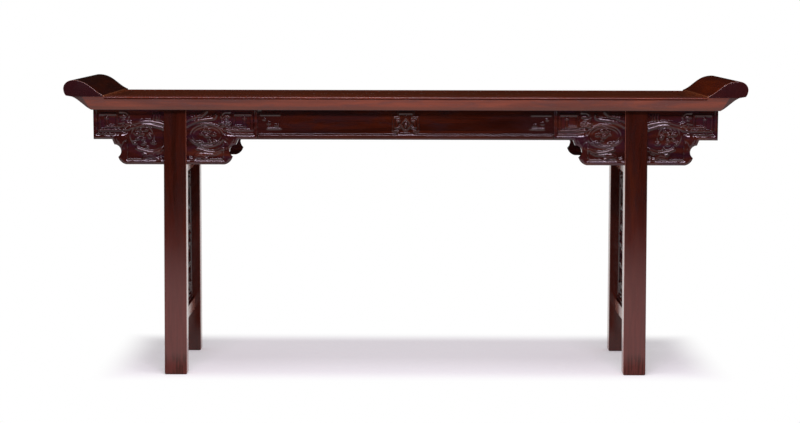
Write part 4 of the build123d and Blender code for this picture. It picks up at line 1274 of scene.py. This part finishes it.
def make_floor():
    """A pale matt floor that keeps the table's shadow and fades to white round it."""
    mesh = bpy.data.meshes.new("floor")
    corners = [(-FLOOR_REACH, FLOOR_FRONT, 0), (FLOOR_REACH, FLOOR_FRONT, 0),
               (FLOOR_REACH, FLOOR_REACH, 0), (-FLOOR_REACH, FLOOR_REACH, 0)]
    mesh.from_pydata(corners, [], [(0, 1, 2, 3)])
    floor = bpy.data.objects.new("floor", mesh)
    bpy.context.scene.collection.objects.link(floor)
    material = bpy.data.materials.new("matt_white_floor")
    material.use_nodes = True
    tree = material.node_tree
    tree.nodes.clear()
    place = node(tree, "TexCoord").outputs["Object"]
    beyond = []
    for at, middle, half in zip(node(tree, "SeparateXYZ", [place]).outputs, SHADOW_MIDDLE, SHADOW_HALF):
        away = node(tree, "Math", [at, middle], operation="SUBTRACT")
        away = node(tree, "Math", [away], operation="ABSOLUTE")
        beyond.append(node(tree, "Math", [away, half], operation="SUBTRACT"))
    beyond = node(tree, "Math", [*beyond, SHADOW_ROUND], operation="SMOOTH_MAX")
    fade = node(tree, "MapRange", [beyond, -SHADOW_FADE / 2, SHADOW_FADE / 2], **EASED)
    shadowed = node(tree, "BsdfDiffuse", {"Color": (*[SHADOW_STRENGTH] * 3, 1)})
    glow = node(tree, "Emission", {"Color": (1, 1, 1, 1), "Strength": SHADOW_LIFT - SHADOW_STRENGTH})
    lifted = node(tree, "AddShader", [shadowed, glow])
    white = node(tree, "Emission", {"Color": (1, 1, 1, 1), "Strength": 1.0})
    shown = node(tree, "MixShader", [fade, lifted, white])
    matt = node(tree, "BsdfDiffuse", {"Color": (*[FLOOR_WHITE] * 3, 1)})
    path = node(tree, "LightPath").outputs
    seen = node(tree, "Math", [path["Is Camera Ray"], path["Is Glossy Ray"]], operation="MAXIMUM")
    seen = node(tree, "Math", [seen, path["Is Transmission Ray"]], operation="MAXIMUM")
    shader = node(tree, "MixShader", [seen, matt, shown])
    node(tree, "OutputMaterial", {"Surface": shader})
    mesh.materials.append(material)


def make_light():
    """A white room with a bright ceiling and dark sides, a light overhead and a long front light."""
    world = bpy.data.worlds.new("studio")
    bpy.context.scene.world = world
    world.use_nodes = True
    tree = world.node_tree
    tree.nodes.clear()
    way = node(tree, "TexCoord").outputs["Generated"]
    up = node(tree, "SeparateXYZ", [way]).outputs[2]
    room = node(tree, "MapRange", [up, *CEILING_SPAN, DARK_SIDE, BRIGHT_CEILING], **EASED)
    path = node(tree, "LightPath").outputs
    mirrored = node(tree, "Math", [path["Is Glossy Ray"], path["Is Transmission Ray"]], operation="MAXIMUM")
    soft = node(tree, "MixRGB", [mirrored, (*[AMBIENT] * 3, 1), room])
    seen = node(tree, "MixRGB", [path["Is Camera Ray"], soft, (1, 1, 1, 1)])
    light = node(tree, "Background", {"Color": seen, "Strength": 1.0})
    node(tree, "OutputWorld", {"Surface": light})

    soft_light("overhead_soft_light", OVERHEAD_PLACE, OVERHEAD_SIZE, OVERHEAD_SHARE, OVERHEAD_TARGET,
               OVERHEAD_TINT)
    soft_light("front_soft_light", FRONT_PLACE, FRONT_SIZE, FRONT_SHARE, FRONT_TARGET, FRONT_TINT)


def soft_light(name, place, size, share, target, tint):
    """A rectangular soft light that gives a facing white surface at its target this share."""
    lamp = bpy.data.lights.new(name, "AREA")
    lamp.shape = "RECTANGLE"
    lamp.size, lamp.size_y = size
    lamp.color = tint
    way = Vector(target) - Vector(place)
    # radiant power of a flat lamp: irradiance at a distance is power / (pi * distance squared)
    lamp.energy = share * math.pi**2 * way.length_squared
    made = bpy.data.objects.new(name, lamp)
    made.location = place
    made.rotation_euler = way.to_track_quat("-Z", "Y").to_euler()
    made.visible_camera = False
    bpy.context.scene.collection.objects.link(made)


def make_camera():
    """The camera stands well back, a little above the tabletop, and looks slightly down."""
    data = bpy.data.cameras.new("camera")
    data.sensor_width = CAMERA_FRAME
    data.lens = CAMERA_LENS
    data.clip_end = 200.0
    camera = bpy.data.objects.new("camera", data)
    camera.location = CAMERA_PLACE
    tilt = Matrix.Rotation(math.radians(90 - CAMERA_DOWN), 4, "X")
    roll = Matrix.Rotation(math.radians(CAMERA_ROLL), 4, "Z")
    camera.rotation_euler = (tilt @ roll).to_euler("XYZ")
    bpy.context.scene.collection.objects.link(camera)
    bpy.context.scene.camera = camera


bpy.context.scene.view_settings.view_transform = "Standard"
make_camera()
make_light()
make_floor()
boards = make_spandrels() + make_centre_aprons() + make_end_aprons() + make_side_panels()
finish_pieces(boards + make_flanges())
